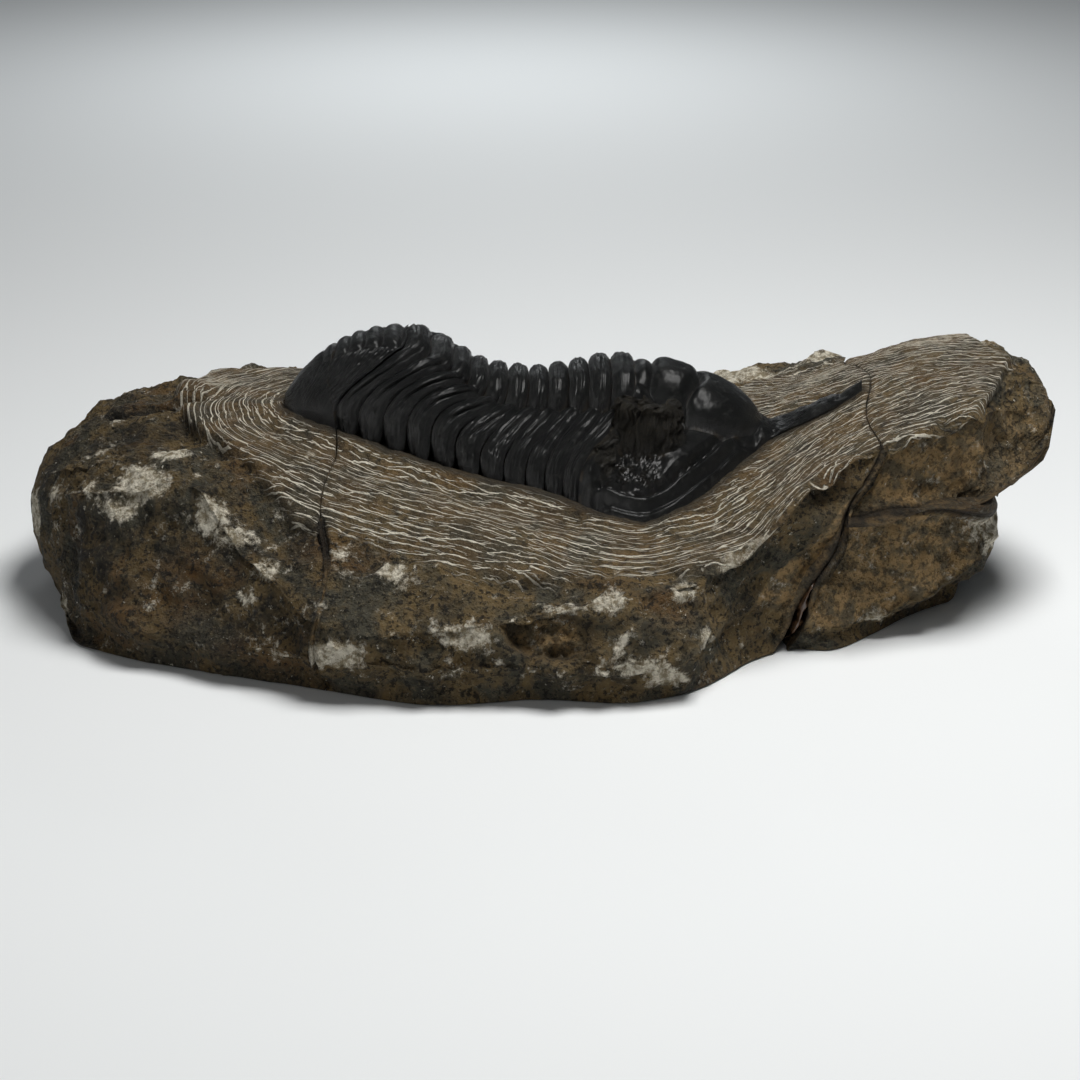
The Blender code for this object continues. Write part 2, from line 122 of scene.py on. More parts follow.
def bell(value, centre, width):
    """A Gaussian bell: 1 at the centre, 0.37 a width away."""
    return np.exp(-(((value - centre) / width) ** 2))


def first_break(y, z):
    """The x of the break through the tail: a plane with two slow waves."""
    return -31.0 + 0.5 * np.sin(y * 0.31) + 0.4 * np.sin(z * 0.45 + 1.0)


def second_break(y, z):
    """The x of the slanting break left of the snout's tip: a leaning plane with two slow waves."""
    return 35.0 + 0.47 * z + 0.7 * np.sin(y * 0.23 + 0.5) + 0.5 * np.sin(z * 0.5)


def third_break(x, y):
    """The z of the low break between the two right-hand stones: level, then dipping to the right."""
    dip = 3.4 * np.clip((x - 60.0) / 8.0, 0, 1)
    return 20.0 - dip + 0.5 * np.sin(x * 0.35 + 2.5) + 0.4 * np.sin(y * 0.27)


def hashed(ix, iy, iz, seed):
    """A repeatable number from 0 to 1 for each lattice point: integer products mixed by shifts."""
    n = (ix * 374761393 + iy * 668265263 + iz * 1440662683 + seed * 974634777) & 0xFFFFFFFF
    n = ((n ^ (n >> 13)) * 1274126177) & 0xFFFFFFFF
    n = ((n ^ (n >> 16)) * 2246822519) & 0xFFFFFFFF
    return ((n ^ (n >> 15)) & 0xFFFFFF) / 0xFFFFFF


def lattice_noise(p, size, seed=0):
    """Value noise from -1 to 1: lattice numbers blended with a smooth cubic over cells of this size."""
    q = np.asarray(p, float) / size
    base = np.floor(q).astype(np.int64)
    t = q - base
    t = t * t * (3 - 2 * t)
    total = 0
    for corner in range(8):
        dx, dy, dz = corner & 1, corner >> 1 & 1, corner >> 2
        weight = ((t[..., 0] if dx else 1 - t[..., 0]) * (t[..., 1] if dy else 1 - t[..., 1])
                  * (t[..., 2] if dz else 1 - t[..., 2]))
        total = total + weight * hashed(base[..., 0] + dx, base[..., 1] + dy, base[..., 2] + dz, seed)
    return total * 2 - 1


def layered_noise(p, size, layers=4, seed=0, gain=0.5):
    """Several noises added, each half the size and gain times the height of the one before."""
    return sum(gain**k * lattice_noise(p, size / 2**k, seed + 17 * k) for k in range(layers))


def scallops(p, seeds, tilt, hollow, lift, seed):
    """Conchoidal scars: the lowest of many shallow bowls, each tilted and lifted at random about its
    seed."""
    random = np.random.RandomState(seed)
    flat = p.reshape(-1, 3).astype(np.float32)
    lowest = np.full(len(flat), 9.0, np.float32)
    lean = random.uniform(-tilt, tilt, (len(seeds), 3)).astype(np.float32)
    raised = random.uniform(-lift, lift, len(seeds)).astype(np.float32)
    for centre, slope, height in zip(seeds.astype(np.float32), lean, raised):
        away = flat - centre
        np.minimum(lowest, away @ slope + hollow * (away * away).sum(1) + height, out=lowest)
    return lowest.reshape(p.shape[:-1]).astype(float)


def ring_mesh(name, rings, start, end, attributes=None, uv=None):
    """A closed skin through rings of points (ring, point, xyz), with a fan to a single point at each end.
    It is turned inside out where the faces' signed volume about their middle is negative. attributes are
    numbers for each point, and uv goes into the map that the strokes read."""
    count, around = rings.shape[:2]
    points = np.concatenate([rings.reshape(-1, 3), [start], [end]]) * MM
    i = np.arange(count - 1)[:, None] * around
    j = np.arange(around)[None, :]
    k = (j + 1) % around
    quads = np.stack([i + j, i + k, i + around + k, i + around + j], -1).reshape(-1, 4)
    first = np.stack([np.full(around, count * around), k[0], j[0]], -1)
    base = (count - 1) * around
    last = np.stack([np.full(around, count * around + 1), base + j[0], base + k[0]], -1)
    corners = np.concatenate([quads.ravel(), first.ravel(), last.ravel()])
    sizes = np.concatenate([np.full(len(quads), 4), np.full(2 * around, 3)])
    mesh = bpy.data.meshes.new(name)
    mesh.vertices.add(len(points))
    mesh.vertices.foreach_set("co", points.ravel())
    mesh.loops.add(len(corners))
    mesh.loops.foreach_set("vertex_index", corners.astype(np.int32))
    mesh.polygons.add(len(sizes))
    starts = np.concatenate([[0], np.cumsum(sizes)[:-1]])
    mesh.polygons.foreach_set("loop_start", starts.astype(np.int32))
    mesh.polygons.foreach_set("loop_total", sizes.astype(np.int32))
    mesh.update(calc_edges=True)
    quad = points[quads] - points.mean(0)
    volume = np.einsum("ij,ij->i", quad[:, 0], np.cross(quad[:, 1], quad[:, 2])).sum()
    if volume < 0:
        mesh.flip_normals()
    mesh.polygons.foreach_set("use_smooth", np.ones(len(sizes), bool))
    for key, values in (attributes or {}).items():
        layer = mesh.attributes.new(key, "FLOAT", "POINT")
        full = np.concatenate([values.ravel(), [values[0].mean(), values[-1].mean()]])
        layer.data.foreach_set("value", full.astype(np.float32))
    if uv is not None:
        layer = mesh.uv_layers.new(name="Way")
        full = np.concatenate([uv.reshape(-1, 2), [uv[0].mean(0)], [uv[-1].mean(0)]])
        vertex = np.empty(len(mesh.loops), np.int32)
        mesh.loops.foreach_get("vertex_index", vertex)
        layer.data.foreach_set("uv", full[vertex].ravel().astype(np.float32))
    obj = bpy.data.objects.new(name, mesh)
    bpy.context.scene.collection.objects.link(obj)
    return obj


def stone_section(x, place):
    """The y and z of the stone's skin at x and place, counted in edges round from the front base: straight
    between edges, and drawn in along a quarter circle towards the left end."""
    here = np.floor(place).astype(int) % len(EDGES)
    t = place - np.floor(place)
    y = np.zeros(np.broadcast(x, place).shape)
    z = np.zeros_like(y)
    for k in range(len(EDGES)):
        weight = np.where(here == k, 1 - t, 0) + np.where((here + 1) % len(EDGES) == k, t, 0)
        used = np.broadcast_to(weight > 0, y.shape)
        at = np.broadcast_to(x, y.shape)[used]
        share = np.broadcast_to(weight, y.shape)[used]
        y[used] += share * curve(EDGES[k], at, 1)
        z[used] += share * curve(EDGES[k], at, 2)
    end_x, end_y, end_z, length = LEFT_END
    gone = np.clip(1 - np.abs(x - end_x) / length, 0, 1)
    share = np.sqrt(np.maximum(1 - gone**2, 0))
    return end_y + (y - end_y) * share, end_z + (z - end_z) * share


def from_outline(x, y, table):
    """For an outline given as half widths along X: how far (x, y) lies outside it, how far round it the
    nearest point is, counted from the tail and negative on the near side, and that point's x."""
    turn = np.linspace(0, 1, 700)
    along = table[0][0] + (table[-1][0] - table[0][0]) * (1 - np.cos(np.pi * turn)) / 2
    half = curve(table, along)
    length = np.concatenate([[0], np.cumsum(np.hypot(np.diff(along), np.diff(half)))])
    flat_x, flat_y = x.ravel().astype(np.float32), np.abs(y).ravel().astype(np.float32)
    line_x, line_y = along.astype(np.float32), half.astype(np.float32)
    gap, nearest = np.empty(len(flat_x)), np.empty(len(flat_x), int)
    batch = 8192
    for first in range(0, len(flat_x), batch):
        part = slice(first, first + batch)
        square = (flat_x[part, None] - line_x) ** 2 + (flat_y[part, None] - line_y) ** 2
        nearest[part] = square.argmin(1)
        gap[part] = np.sqrt(square.min(1))
    inside = (flat_y < curve(table, flat_x)) & (flat_x > table[0][0]) & (flat_x < table[-1][0])
    away = np.where(inside, -gap, gap).reshape(x.shape)
    way = length[nearest].reshape(x.shape) * np.where(y < 0, -1, 1)
    return away, way, along[nearest].reshape(x.shape)


def worked_share(x, y, z):
    """1 inside the worked zone and 0 outside it, with a ragged edge about 2 mm wide."""
    flat = np.stack([x, y, 0 * x], -1)
    ragged = 1.6 * lattice_noise(flat, 5.0, 3) + 0.7 * lattice_noise(flat, 1.7, 4)
    front = y - curve(WORKED_FRONT, x) + ragged
    back = curve(WORKED_BACK, x) - y + ragged
    ends = np.minimum(x + 57, 73 - x) + ragged
    return step(-1.3, 1.3, np.minimum(np.minimum(front, back), ends)) * step(13.0, 15.0, z)


def blob(p, centre, size):
    """A soft spot in space: a Gaussian bell with its own width along each axis."""
    return np.exp(-((((p - centre) / size) ** 2).sum(-1)))


# Bruises where the hammer or a fall crushed the stone white, as centre and size
BRUISES = [((-73, -9, 25), (3.2, 3, 1.6)), ((-67, -12, 27.5), (4.2, 2.6, 1.5)),
           ((-76, -9, 19.5), (2.4, 3, 2.4)), ((-55, -16, 28.5), (3.0, 2.4, 1.4)),
           ((-70, -18, 24), (3.5, 3, 1.8)), ((-61, -20, 25.5), (5, 3, 1.6)),
           ((-63, -24, 22), (4.5, 2.5, 2)), ((-57, -23, 25), (3, 2, 1.6)),
           ((-47.5, -28, 23.5), (2.6, 2.5, 2.6)), ((-43.5, -31.5, 20.5), (3, 2.5, 1.8)),
           ((-40, -36, 17), (2.4, 2.5, 1.6)), ((-45, -37, 13), (3.0, 2, 1.6)),
           ((-37, -43, 11), (3.0, 2, 1.8)), ((-27, -36, 19.3), (3.4, 2, 1.2)),
           ((-21, -37, 17.2), (1.8, 1.4, 1)), ((-20.5, -40, 16.2), (1.6, 1.4, 1)),
           ((-30, -46.5, 8), (4.5, 2, 2)), ((-41, -42.5, 5), (4.5, 2, 1.5)),
           ((-12, -47, 10.5), (4.5, 2, 1.6)), ((-6, -47, 13.6), (4.6, 2.2, 1.2)),
           ((1, -45.5, 14.8), (5.5, 2.2, 1.1)), ((9, -44.5, 15.5), (3.0, 2.0, 1.1)),
           ((-8, -49.5, 7.5), (3.0, 2.0, 2.2)), ((14, -47.5, 6), (3.5, 2, 1.6)),
           ((19, -45.5, 3.5), (3.2, 2, 1.6)), ((28.5, -35, 17.5), (2.2, 2.2, 2.0)),
           ((31.5, -32, 19.5), (1.8, 2, 1.8)), ((25, -42, 8.5), (2.2, 2, 2.0)),
           ((20.5, -40.5, 15.5), (1.5, 1.6, 1.8)), ((70, -11, 13), (2.4, 6, 4.0)),
           ((66.5, -15, 15.5), (2.0, 3, 2.0)), ((50, -22.5, 3.5), (2.0, 2, 1.3)),
           ((-78, -3, 13), (1.4, 3, 3)), ((-74, -16, 4), (2.2, 2.5, 2.5)), ((-52, 12, 31), (5, 3, 1.2)),
           ((60, 17, 36.5), (7, 3, 1.6)), ((44, 15, 31), (5, 3, 2.0)), ((-10, 46, 15), (6, 3, 2.0)),
           ((30, 44, 16), (4, 3, 3)), ((-50, 38, 18), (4, 3, 3)), ((70, 28, 30), (4, 3, 2))]
# Rust-brown stains and dark coats, as centre and size
RUSTS = [((43, -23, 25.5), (3.2, 2.5, 3.2)), ((-30, -33, 19), (5, 3, 2.5)), ((-52, -30, 12), (6, 4, 6)),
         ((5, -40, 16.8), (9, 2.0, 1.6)), ((18, -42, 13), (6, 3, 2.5)), ((-40, -40, 4), (10, 3, 3)),
         ((-55, 5, 30.5), (8, 4, 2)), ((-62, -31, 9), (5, 4, 5)), ((10, 46, 12), (14, 4, 5))]
COATS = [((-70, -20, 10), (9, 6, 9)), ((-43, -39, 8), (4, 3, 5)), ((-47, -34, 14), (3, 2, 4)),
         ((-10, -49, 3), (14, 3, 2.5)), ((12, -48, 4), (12, 3, 2.5)), ((-26, -47, 3), (8, 3, 2.5)),
         ((62, -17, 5), (8, 4, 4)), ((-64, 4, 28), (5, 3, 2)), ((33, -31, 6), (3, 3, 6)),
         ((60, 38, 14), (14, 6, 6)), ((-60, 34, 8), (14, 6, 7))]
# The vug in the front face, its far end that painted shade darkens, the notch beside the slanting break, and
# two calm places
VUG = ((1.9, -48.2, 12.0), (7.4, 3.6, 4.2))
VUG_END = ((-3.5, -48, 11.0), (2.6, 4, 3.0))
NOTCH = ((42.5, -24, 25.0), (3.6, 3.0, 3.6))
CALM_BREAK, CALM_LOBE = ((41, -25, 20.5), (5, 5, 3)), ((74, -8, 20), (5, 9, 3.5))


def blobs(p, spots):
    """The sum of several soft spots, each given as centre and size."""
    return sum(blob(p, *spot) for spot in spots)


def outward(p):
    """Unit normals of rings of points, turned away from their middle: the cross product of the grid's
    ways."""
    normal = np.cross(np.gradient(p, axis=0), (np.roll(p, -1, 1) - np.roll(p, 1, 1)) / 2)
    normal /= np.maximum(np.linalg.norm(normal, axis=-1, keepdims=True), 1e-9)
    return -normal if ((p - p.reshape(-1, 3).mean(0)) * normal).sum() < 0 else normal


def chip_scars(p):
    """The scars of the large chips and of the small ones: scallops about points of the stone drawn at
    random."""
    random = np.random.RandomState(8)
    points = p.reshape(-1, 3)
    spots = points[random.choice(len(points), LARGE_CHIPS, replace=False)]
    large = scallops(p, spots, 0.42, 0.020, 1.0, 3)
    spots = points[random.choice(len(points), int(SMALL_CHIPS * FINE), replace=False)]
    return large, scallops(p, spots, 0.34, 0.07, 0.25, 4)


def finish_stone(name, rings, skin):
    """Roughens a smooth stone: each point moves along its normal by the chips' scars and noise, less the
    vug, the notch, the slots and a groove along each break, and under the shield it sinks to just below the
    margin. skin is 1 on the outer skin and 0 on a broken face."""
    p = rings
    normal = outward(p)
    x, y, z = p[..., 0], p[..., 1], p[..., 2]
    faces_up = normal[..., 2] > 0.2
    worked = worked_share(x, y, z) * faces_up
    away, way, _ = from_outline(x, y, WORK_OUTLINE)
    seat, _, seat_at = from_outline(x, y, HALF_WIDTH)
    margin = curve(MARGIN, seat_at)
    on_top = (z > 12) * faces_up * (margin - z < 6)
    sunk = margin - 0.35 - 1.4 * step(-0.8, -3.2, seat)
    hold = step(4.5, 0.4, seat) * on_top
    fall = hold * (sunk - z)

    tail_break = np.abs(x - first_break(y, z))
    snout_break = np.abs(x - second_break(y, z))
    low_break = np.where(x > second_break(y, z) - 0.2, np.abs(z - third_break(x, y)), 9)
    near_break = np.minimum(np.minimum(tail_break, snout_break), low_break)
    groove = np.maximum(0.13 * bell(tail_break, 0, 0.3), 0.45 * bell(low_break, 0, 0.4))
    groove = np.maximum(groove, (0.15 + 0.4 * step(24, 16, z)) * bell(snout_break, 0, 0.32))
    large, small = chip_scars(p)
    rough = 0.55 * layered_noise(p, 6.0, 4, 20, 0.6) + 0.30 * layered_noise(p, 1.6, 3, 40, 0.7)
    chips = np.clip(large + 0.9, -2.4, 1.0) * 0.85 + np.clip(small + 0.1, -1.0, 0.7) + rough
    worked_relief = 0.28 * layered_noise(p, 5.0, 3, 60) + 0.10 * lattice_noise(p, 0.9, 61)
    relief = chips * (1 - worked) * (1 - hold) + worked_relief * np.maximum(worked, hold)

    vug = blob(p, *VUG)
    vug_hole = step(0.25, 0.6, vug + 0.12 * layered_noise(p, 2.5, 3, 70))
    relief -= vug_hole * (2.4 + 1.3 * layered_noise(p, 2.6, 4, 71, 0.65))
    notch = blob(p, *NOTCH)
    relief -= step(0.3, 0.7, notch) * 2.0
    wander = 0.8 * np.sin(x * 0.7)
    ledge = step(0.2, 1.2, y - 2.5 - wander) * step(-68, -65.5, x) * step(-50.5, -53.5, x) * on_top
    slot = bell(y, 2.3 + wander, 0.7) * step(-68, -66, x) * step(-51.5, -53.5, x) * on_top
    relief += ledge * 1.5 * step(16, 8, y) - slot * 2.0
    tail_slot = bell(x, first_break(y, z), 0.55) * bell(z, 21.0, 3.6) * step(-28, -30, y)
    relief -= tail_slot * 1.6
    keep = step(0.0, 1.6, near_break)
    girth = p[..., 1:].std(1).sum(-1)[:, None]
    relief *= (1 - 0.85 * blob(p, *CALM_BREAK)) * (1 - 0.9 * blob(p, *CALM_LOBE))
    relief = relief * (0.55 + 0.45 * keep) * np.clip(girth / (0.7 * np.median(girth)), 0.25, 1) - groove
    relief *= skin * step(0.0, 1.2, z)
    p = p + normal * relief[..., None]
    p[..., 2] += fall
    p[..., 2] = np.maximum(p[..., 2], 0)

    ridge = step(-0.6, 0.4, large + 0.9 * small) * step(-0.1, 0.6, lattice_noise(p, 8.0, 90))
    vug_rim = 0.5 * bell(vug, 0.15, 0.07) * step(-0.2, 0.4, lattice_noise(p, 3.0, 91))
    bruise = 1.25 * blobs(p, BRUISES) + 0.6 * ridge * (1 - worked) + vug_rim
    right_side = (x > second_break(y, z) - 5.5 * step(26, 10, z)) * step(0.6, 0.3, normal[..., 2])
    right_side = right_side * (normal[..., 1] < -0.1) * (0.42 + 0.58 * step(68.5, 66.5, x))
    right_side = right_side * step(0.0, 1.5, z - curve(FRONT_BELLY, x, 2))
    # Painted shade in hollows and cracks: the vug's far end and a ring inside its lip, the slot under the
    # ledge, the hole at the tail's break, the broken faces inside the slanting break and the notch. Along
    # each break it is partly the real dark of the glue line and partly painted shade in the groove.
    deep = 0.9 * vug_hole * blob(p, *VUG_END) + 0.5 * bell(vug, 0.42, 0.10) + slot + 1.4 * tail_slot
    deep = deep + groove * 1.1 + 0.75 * (1 - skin) * step(34, 37, x) + step(0.5, 0.9, notch) * 0.2
    # The last layer darkens the stone under the shield and in a band about 2 mm wide round its edge: painted
    # shade between the shield and the stone.
    layers = {"worked": worked, "bruise": np.clip(bruise, 0, 1), "rust": np.clip(blobs(p, RUSTS), 0, 1),
              "coat": np.clip(blobs(p, COATS), 0, 1),
              "fresh": np.clip(right_side + (1 - skin) + 0.8 * vug_hole, 0, 1),
              "deep": np.clip(deep, 0, 1), "bed": hold * step(2.2, 0.2, seat)}
    return ring_mesh(name, p, rings[0].mean(0), rings[-1].mean(0), layers, np.stack([way, away], -1))


def side_y(x, z, belly, rim):
    """The y of the stone's side at x and z: straight from the belly's edge up to the rim's."""
    low_y, low_z, high_y, high_z = (curve(edge, x, column) for edge in (belly, rim) for column in (1, 2))
    return low_y + np.clip((z - low_z) / (high_z - low_z), 0, 1) * (high_y - low_y)


def left_end(y, z):
    """The x where the rounded left end starts."""
    return LEFT_END[0] + 0 * y


def stone(name, rows, left, right, low=None, high=None, blunt=None):
    """One stone: rings of the skin from its left limit to its right one, closed by broken faces or rounded
    ends. left and right give x from y and z, and low and high give z from x and y. No left stands for the
    rounded end, and blunt is the share of the length where a rounded right end begins."""
    counts = np.maximum(8, (np.array(AROUND) * FINE).astype(int))
    place = np.concatenate([k + np.arange(n) / n for k, n in enumerate(counts)])[None, :]
    rows = int(rows * FINE)
    u = np.linspace(0, 1, rows)[:, None]
    if left is None:
        u = 0.35 * u + 0.65 * (1 - np.cos(np.pi / 2 * u)) + 0.004 * (1 - u)
    start = left or left_end
    x = start(0, 15) * (1 - u) + right(0, 15) * u + 0 * place
    for _ in range(7):
        y, z = stone_section(x, place)
        x = start(y, z) * (1 - u) + right(y, z) * u
    skin = np.ones_like(x)
    for limit, sign in ((low, 1), (high, -1)):
        if limit is None:
            continue
        cut = limit(x, y)
        front = side_y(x, cut, FRONT_BELLY, FRONT_RIM) + CUT_INSET
        back = side_y(x, cut, BACK_BELLY, BACK_RIM) - CUT_INSET
        beyond = (cut - z) * sign > 0
        y = np.where(beyond, np.clip(y, front, back), y)
        z = np.where(beyond, cut, z)
        skin = np.where(beyond, 0.0, skin)
    if blunt:
        share = np.sqrt(np.clip(1 - np.clip((u - blunt) / (1 - blunt), 0, 1) ** 2.2, 0.0004, 1)) ** 0.7
        middle_y, middle_z = y.mean(1, keepdims=True), z.mean(1, keepdims=True)
        y = middle_y + (y - middle_y) * share
        z = middle_z + (z - middle_z) * share
        x = start(y, z) * (1 - u) + right(y, z) * u
    for _ in range(2):
        y = (np.roll(y, 1, 1) + 2 * y + np.roll(y, -1, 1)) / 4
        z = (np.roll(z, 1, 1) + 2 * z + np.roll(z, -1, 1)) / 4
    rings = np.stack([x, y, np.maximum(z, 0)], -1)
    shrink = np.linspace(0.97, 0.03, int(26 * FINE))[:, None]
    parts, skins = [rings], [skin]
    for side, face in ((0, left), (-1, None if blunt else right)):
        if face is None:
            continue
        middle = rings[side].mean(0)
        ys, zs = (middle[k] + (rings[side][None, :, k] - middle[k]) * shrink for k in (1, 2))
        cap = np.stack([face(ys, zs), ys, zs], -1)
        at = 0 if side == 0 else len(parts)
        parts.insert(at, cap[::-1] if side == 0 else cap)
        skins.insert(at, np.zeros(cap.shape[:2]))
    return finish_stone(name, np.concatenate(parts), np.concatenate(skins))


def open_second(y, z):
    """Half the width of the second break: wider low down at the front, where the filler sits."""
    return (0.04 + 0.10 * step(26, 20, z) + 0.9 * step(-18, -24, y) * step(12, 5, z)
            + 0.08 * np.sin(z * 1.3) ** 2)


def left_of_tail_break(y, z):
    """The x of the left stone's broken face: half a glue line short of the break."""
    return first_break(y, z) - 0.03


def right_of_tail_break(y, z):
    """The x of the main stone's left face: half a glue line past the break."""
    return first_break(y, z) + 0.03


def left_of_second(y, z):
    """The x of the main stone's right face."""
    return second_break(y, z) - open_second(y, z)


def right_of_second(y, z):
    """The x of the left faces of both right-hand stones."""
    return second_break(y, z) + open_second(y, z)


def upper_end(y, z):
    """The x of the upper stone's right end: two parabolas in z that meet at its furthest point, 29 high."""
    return 79.7 - np.where(z < 29, 0.07, 0.03) * (np.clip(z, 16, 38) - 29) ** 2 - 0.009 * (y - 6) ** 2


def lower_end(y, z):
    """The x of the lower stone's right end: a parabola in z with its furthest point 10 high."""
    return 71.8 - 0.035 * (z - 10) ** 2 + 0 * y


def upper_floor(x, y):
    """The z of the upper stone's cut underside, a little above the low break."""
    return third_break(x, y) + 0.10 + 0.02 * np.maximum(x - 60, 0)


def lower_roof(x, y):
    """The z of the lower stone's cut top, a little under the low break."""
    return third_break(x, y) - 0.10 - 0.05 * np.maximum(x - 62, 0)


left_stone = stone("stone_left", 125, None, left_of_tail_break)
main_stone = stone("stone_main", 186, right_of_tail_break, left_of_second)
upper_stone = stone("stone_upper_right", 92, right_of_second, upper_end, low=upper_floor, blunt=0.72)
lower_stone = stone("stone_lower_right", 84, right_of_second, lower_end, high=lower_roof, blunt=0.84)

STONES = ((left_stone, "matrix_left_block", "limestone_dark"), (main_stone, "matrix_main_block", "limestone"),
          (upper_stone, "matrix_upper_right_block", "limestone"),
          (lower_stone, "matrix_lower_right_wedge", "limestone_dark"))
for piece, node, slot in STONES:
    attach(piece, "root")
    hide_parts(node)


class Value:
    """A shader socket that can be written in sums: an operator on it adds the Math node of that name."""

    def __init__(self, finish, socket):
        self.finish, self.socket = finish, socket

    def math(self, operation, *others):
        """A Math node with this value as its first input."""
        return self.finish.node("ShaderNodeMath", {"operation": operation}, [self, *others])

    def __add__(self, other):
        return self.math("ADD", other)

    def __mul__(self, other):
        return self.math("MULTIPLY", other)

    def __sub__(self, other):
        return self.math("SUBTRACT", other)

    def __truediv__(self, other):
        return self.math("DIVIDE", other)

    def __rsub__(self, other):
        return self.finish.node("ShaderNodeMath", {"operation": "SUBTRACT"}, [other, self])

    __radd__, __rmul__ = __add__, __mul__

    def above(self, low, high):
        """0 below low, 1 above high, smooth between."""
        return self.finish.node("ShaderNodeMapRange", {"interpolation_type": "SMOOTHSTEP"},
                                {"Value": self, "From Min": low, "From Max": high,
                                 "To Min": 0.0, "To Max": 1.0})


class Finish:
    """A material being written: its node tree, its Principled shader and short ways to add nodes."""

    def __init__(self, name, **constants):
        self.material = bpy.data.materials.new(name)
        self.material.use_nodes = True
        self.tree = self.material.node_tree
        self.shader = self.tree.nodes["Principled BSDF"]
        for key, value in constants.items():
            self.shader.inputs[key.replace("_", " ")].default_value = value
        self.place = self.node("ShaderNodeTexCoord", {}, {}, "Object")

    def node(self, kind, settings, values, output=0):
        """Adds any node: settings first, then each socket's value or link. Returns one of its outputs."""
        node = self.tree.nodes.new(kind)
        for key, value in settings.items():
            setattr(node, key, value)
        for key, value in (values.items() if isinstance(values, dict) else enumerate(values)):
            if isinstance(value, Value):
                self.tree.links.new(value.socket, node.inputs[key])
            else:
                node.inputs[key].default_value = value
        return Value(self, node.outputs[output])

    def noise(self, size, detail=3.0, place=None, roughness=0.55, warp=0.0):
        """Noise from 0 to 1 with features of a size in millimetres, or in thousandths of the place's
        unit."""
        return self.node("ShaderNodeTexNoise", {}, {"Vector": place or self.place, "Scale": 1 / (size * MM),
                                                    "Detail": detail, "Roughness": roughness,
                                                    "Distortion": warp})

    def layer(self, name):
        """A number stored on the piece's vertices."""
        return self.node("ShaderNodeAttribute", {"attribute_name": name}, {}, "Fac")

    def mix(self, share, low, high):
        """A colour between two: share 0 gives low and share 1 gives high."""
        low, high = ((*colour, 1) if isinstance(colour, tuple) else colour for colour in (low, high))
        return self.node("ShaderNodeMix", {"data_type": "RGBA"}, {0: share, 6: low, 7: high}, 2)

    def set(self, name, value):
        """Links a value or a colour to one of the shader's sockets."""
        self.tree.links.new(value.socket, self.shader.inputs[name])

    def bump(self, height, depth):
        """Fine relief: height 0 to 1 over a depth in millimetres."""
        self.set("Normal", self.node("ShaderNodeBump", {}, {"Height": height, "Distance": depth * MM,
                                                           "Strength": 1.0}))


GREY_STONE, BROWN_STONE, DARK_STONE = (0.076, 0.070, 0.049), (0.178, 0.122, 0.052), (0.011, 0.010, 0.008)
FRESH_BROWN, FRESH_GREY = (0.400, 0.262, 0.118), (0.150, 0.118, 0.070)
WORKED_GREY, WORKED_BROWN, WORKED_DARK = (0.105, 0.086, 0.054), (0.185, 0.115, 0.050), (0.016, 0.013, 0.009)
RUST, CREAM = (0.130, 0.070, 0.024), (0.90, 0.84, 0.70)
CRUSHED, PALE_GRAIN = (0.30, 0.25, 0.16), (0.30, 0.24, 0.14)
# The first colour is painted shade on the stone round the shield's edge.
# The second colour is painted shade in hollows and cracks, and along the breaks also the dark of the glue
# lines.
SHIELD_EDGE_SHADE, HOLLOW_SHADE_AND_JOINTS = (0.026, 0.021, 0.014), (0.012, 0.009, 0.006)
ONE_UNIT = 1 / MM    # the noise size that spans one unit of a place


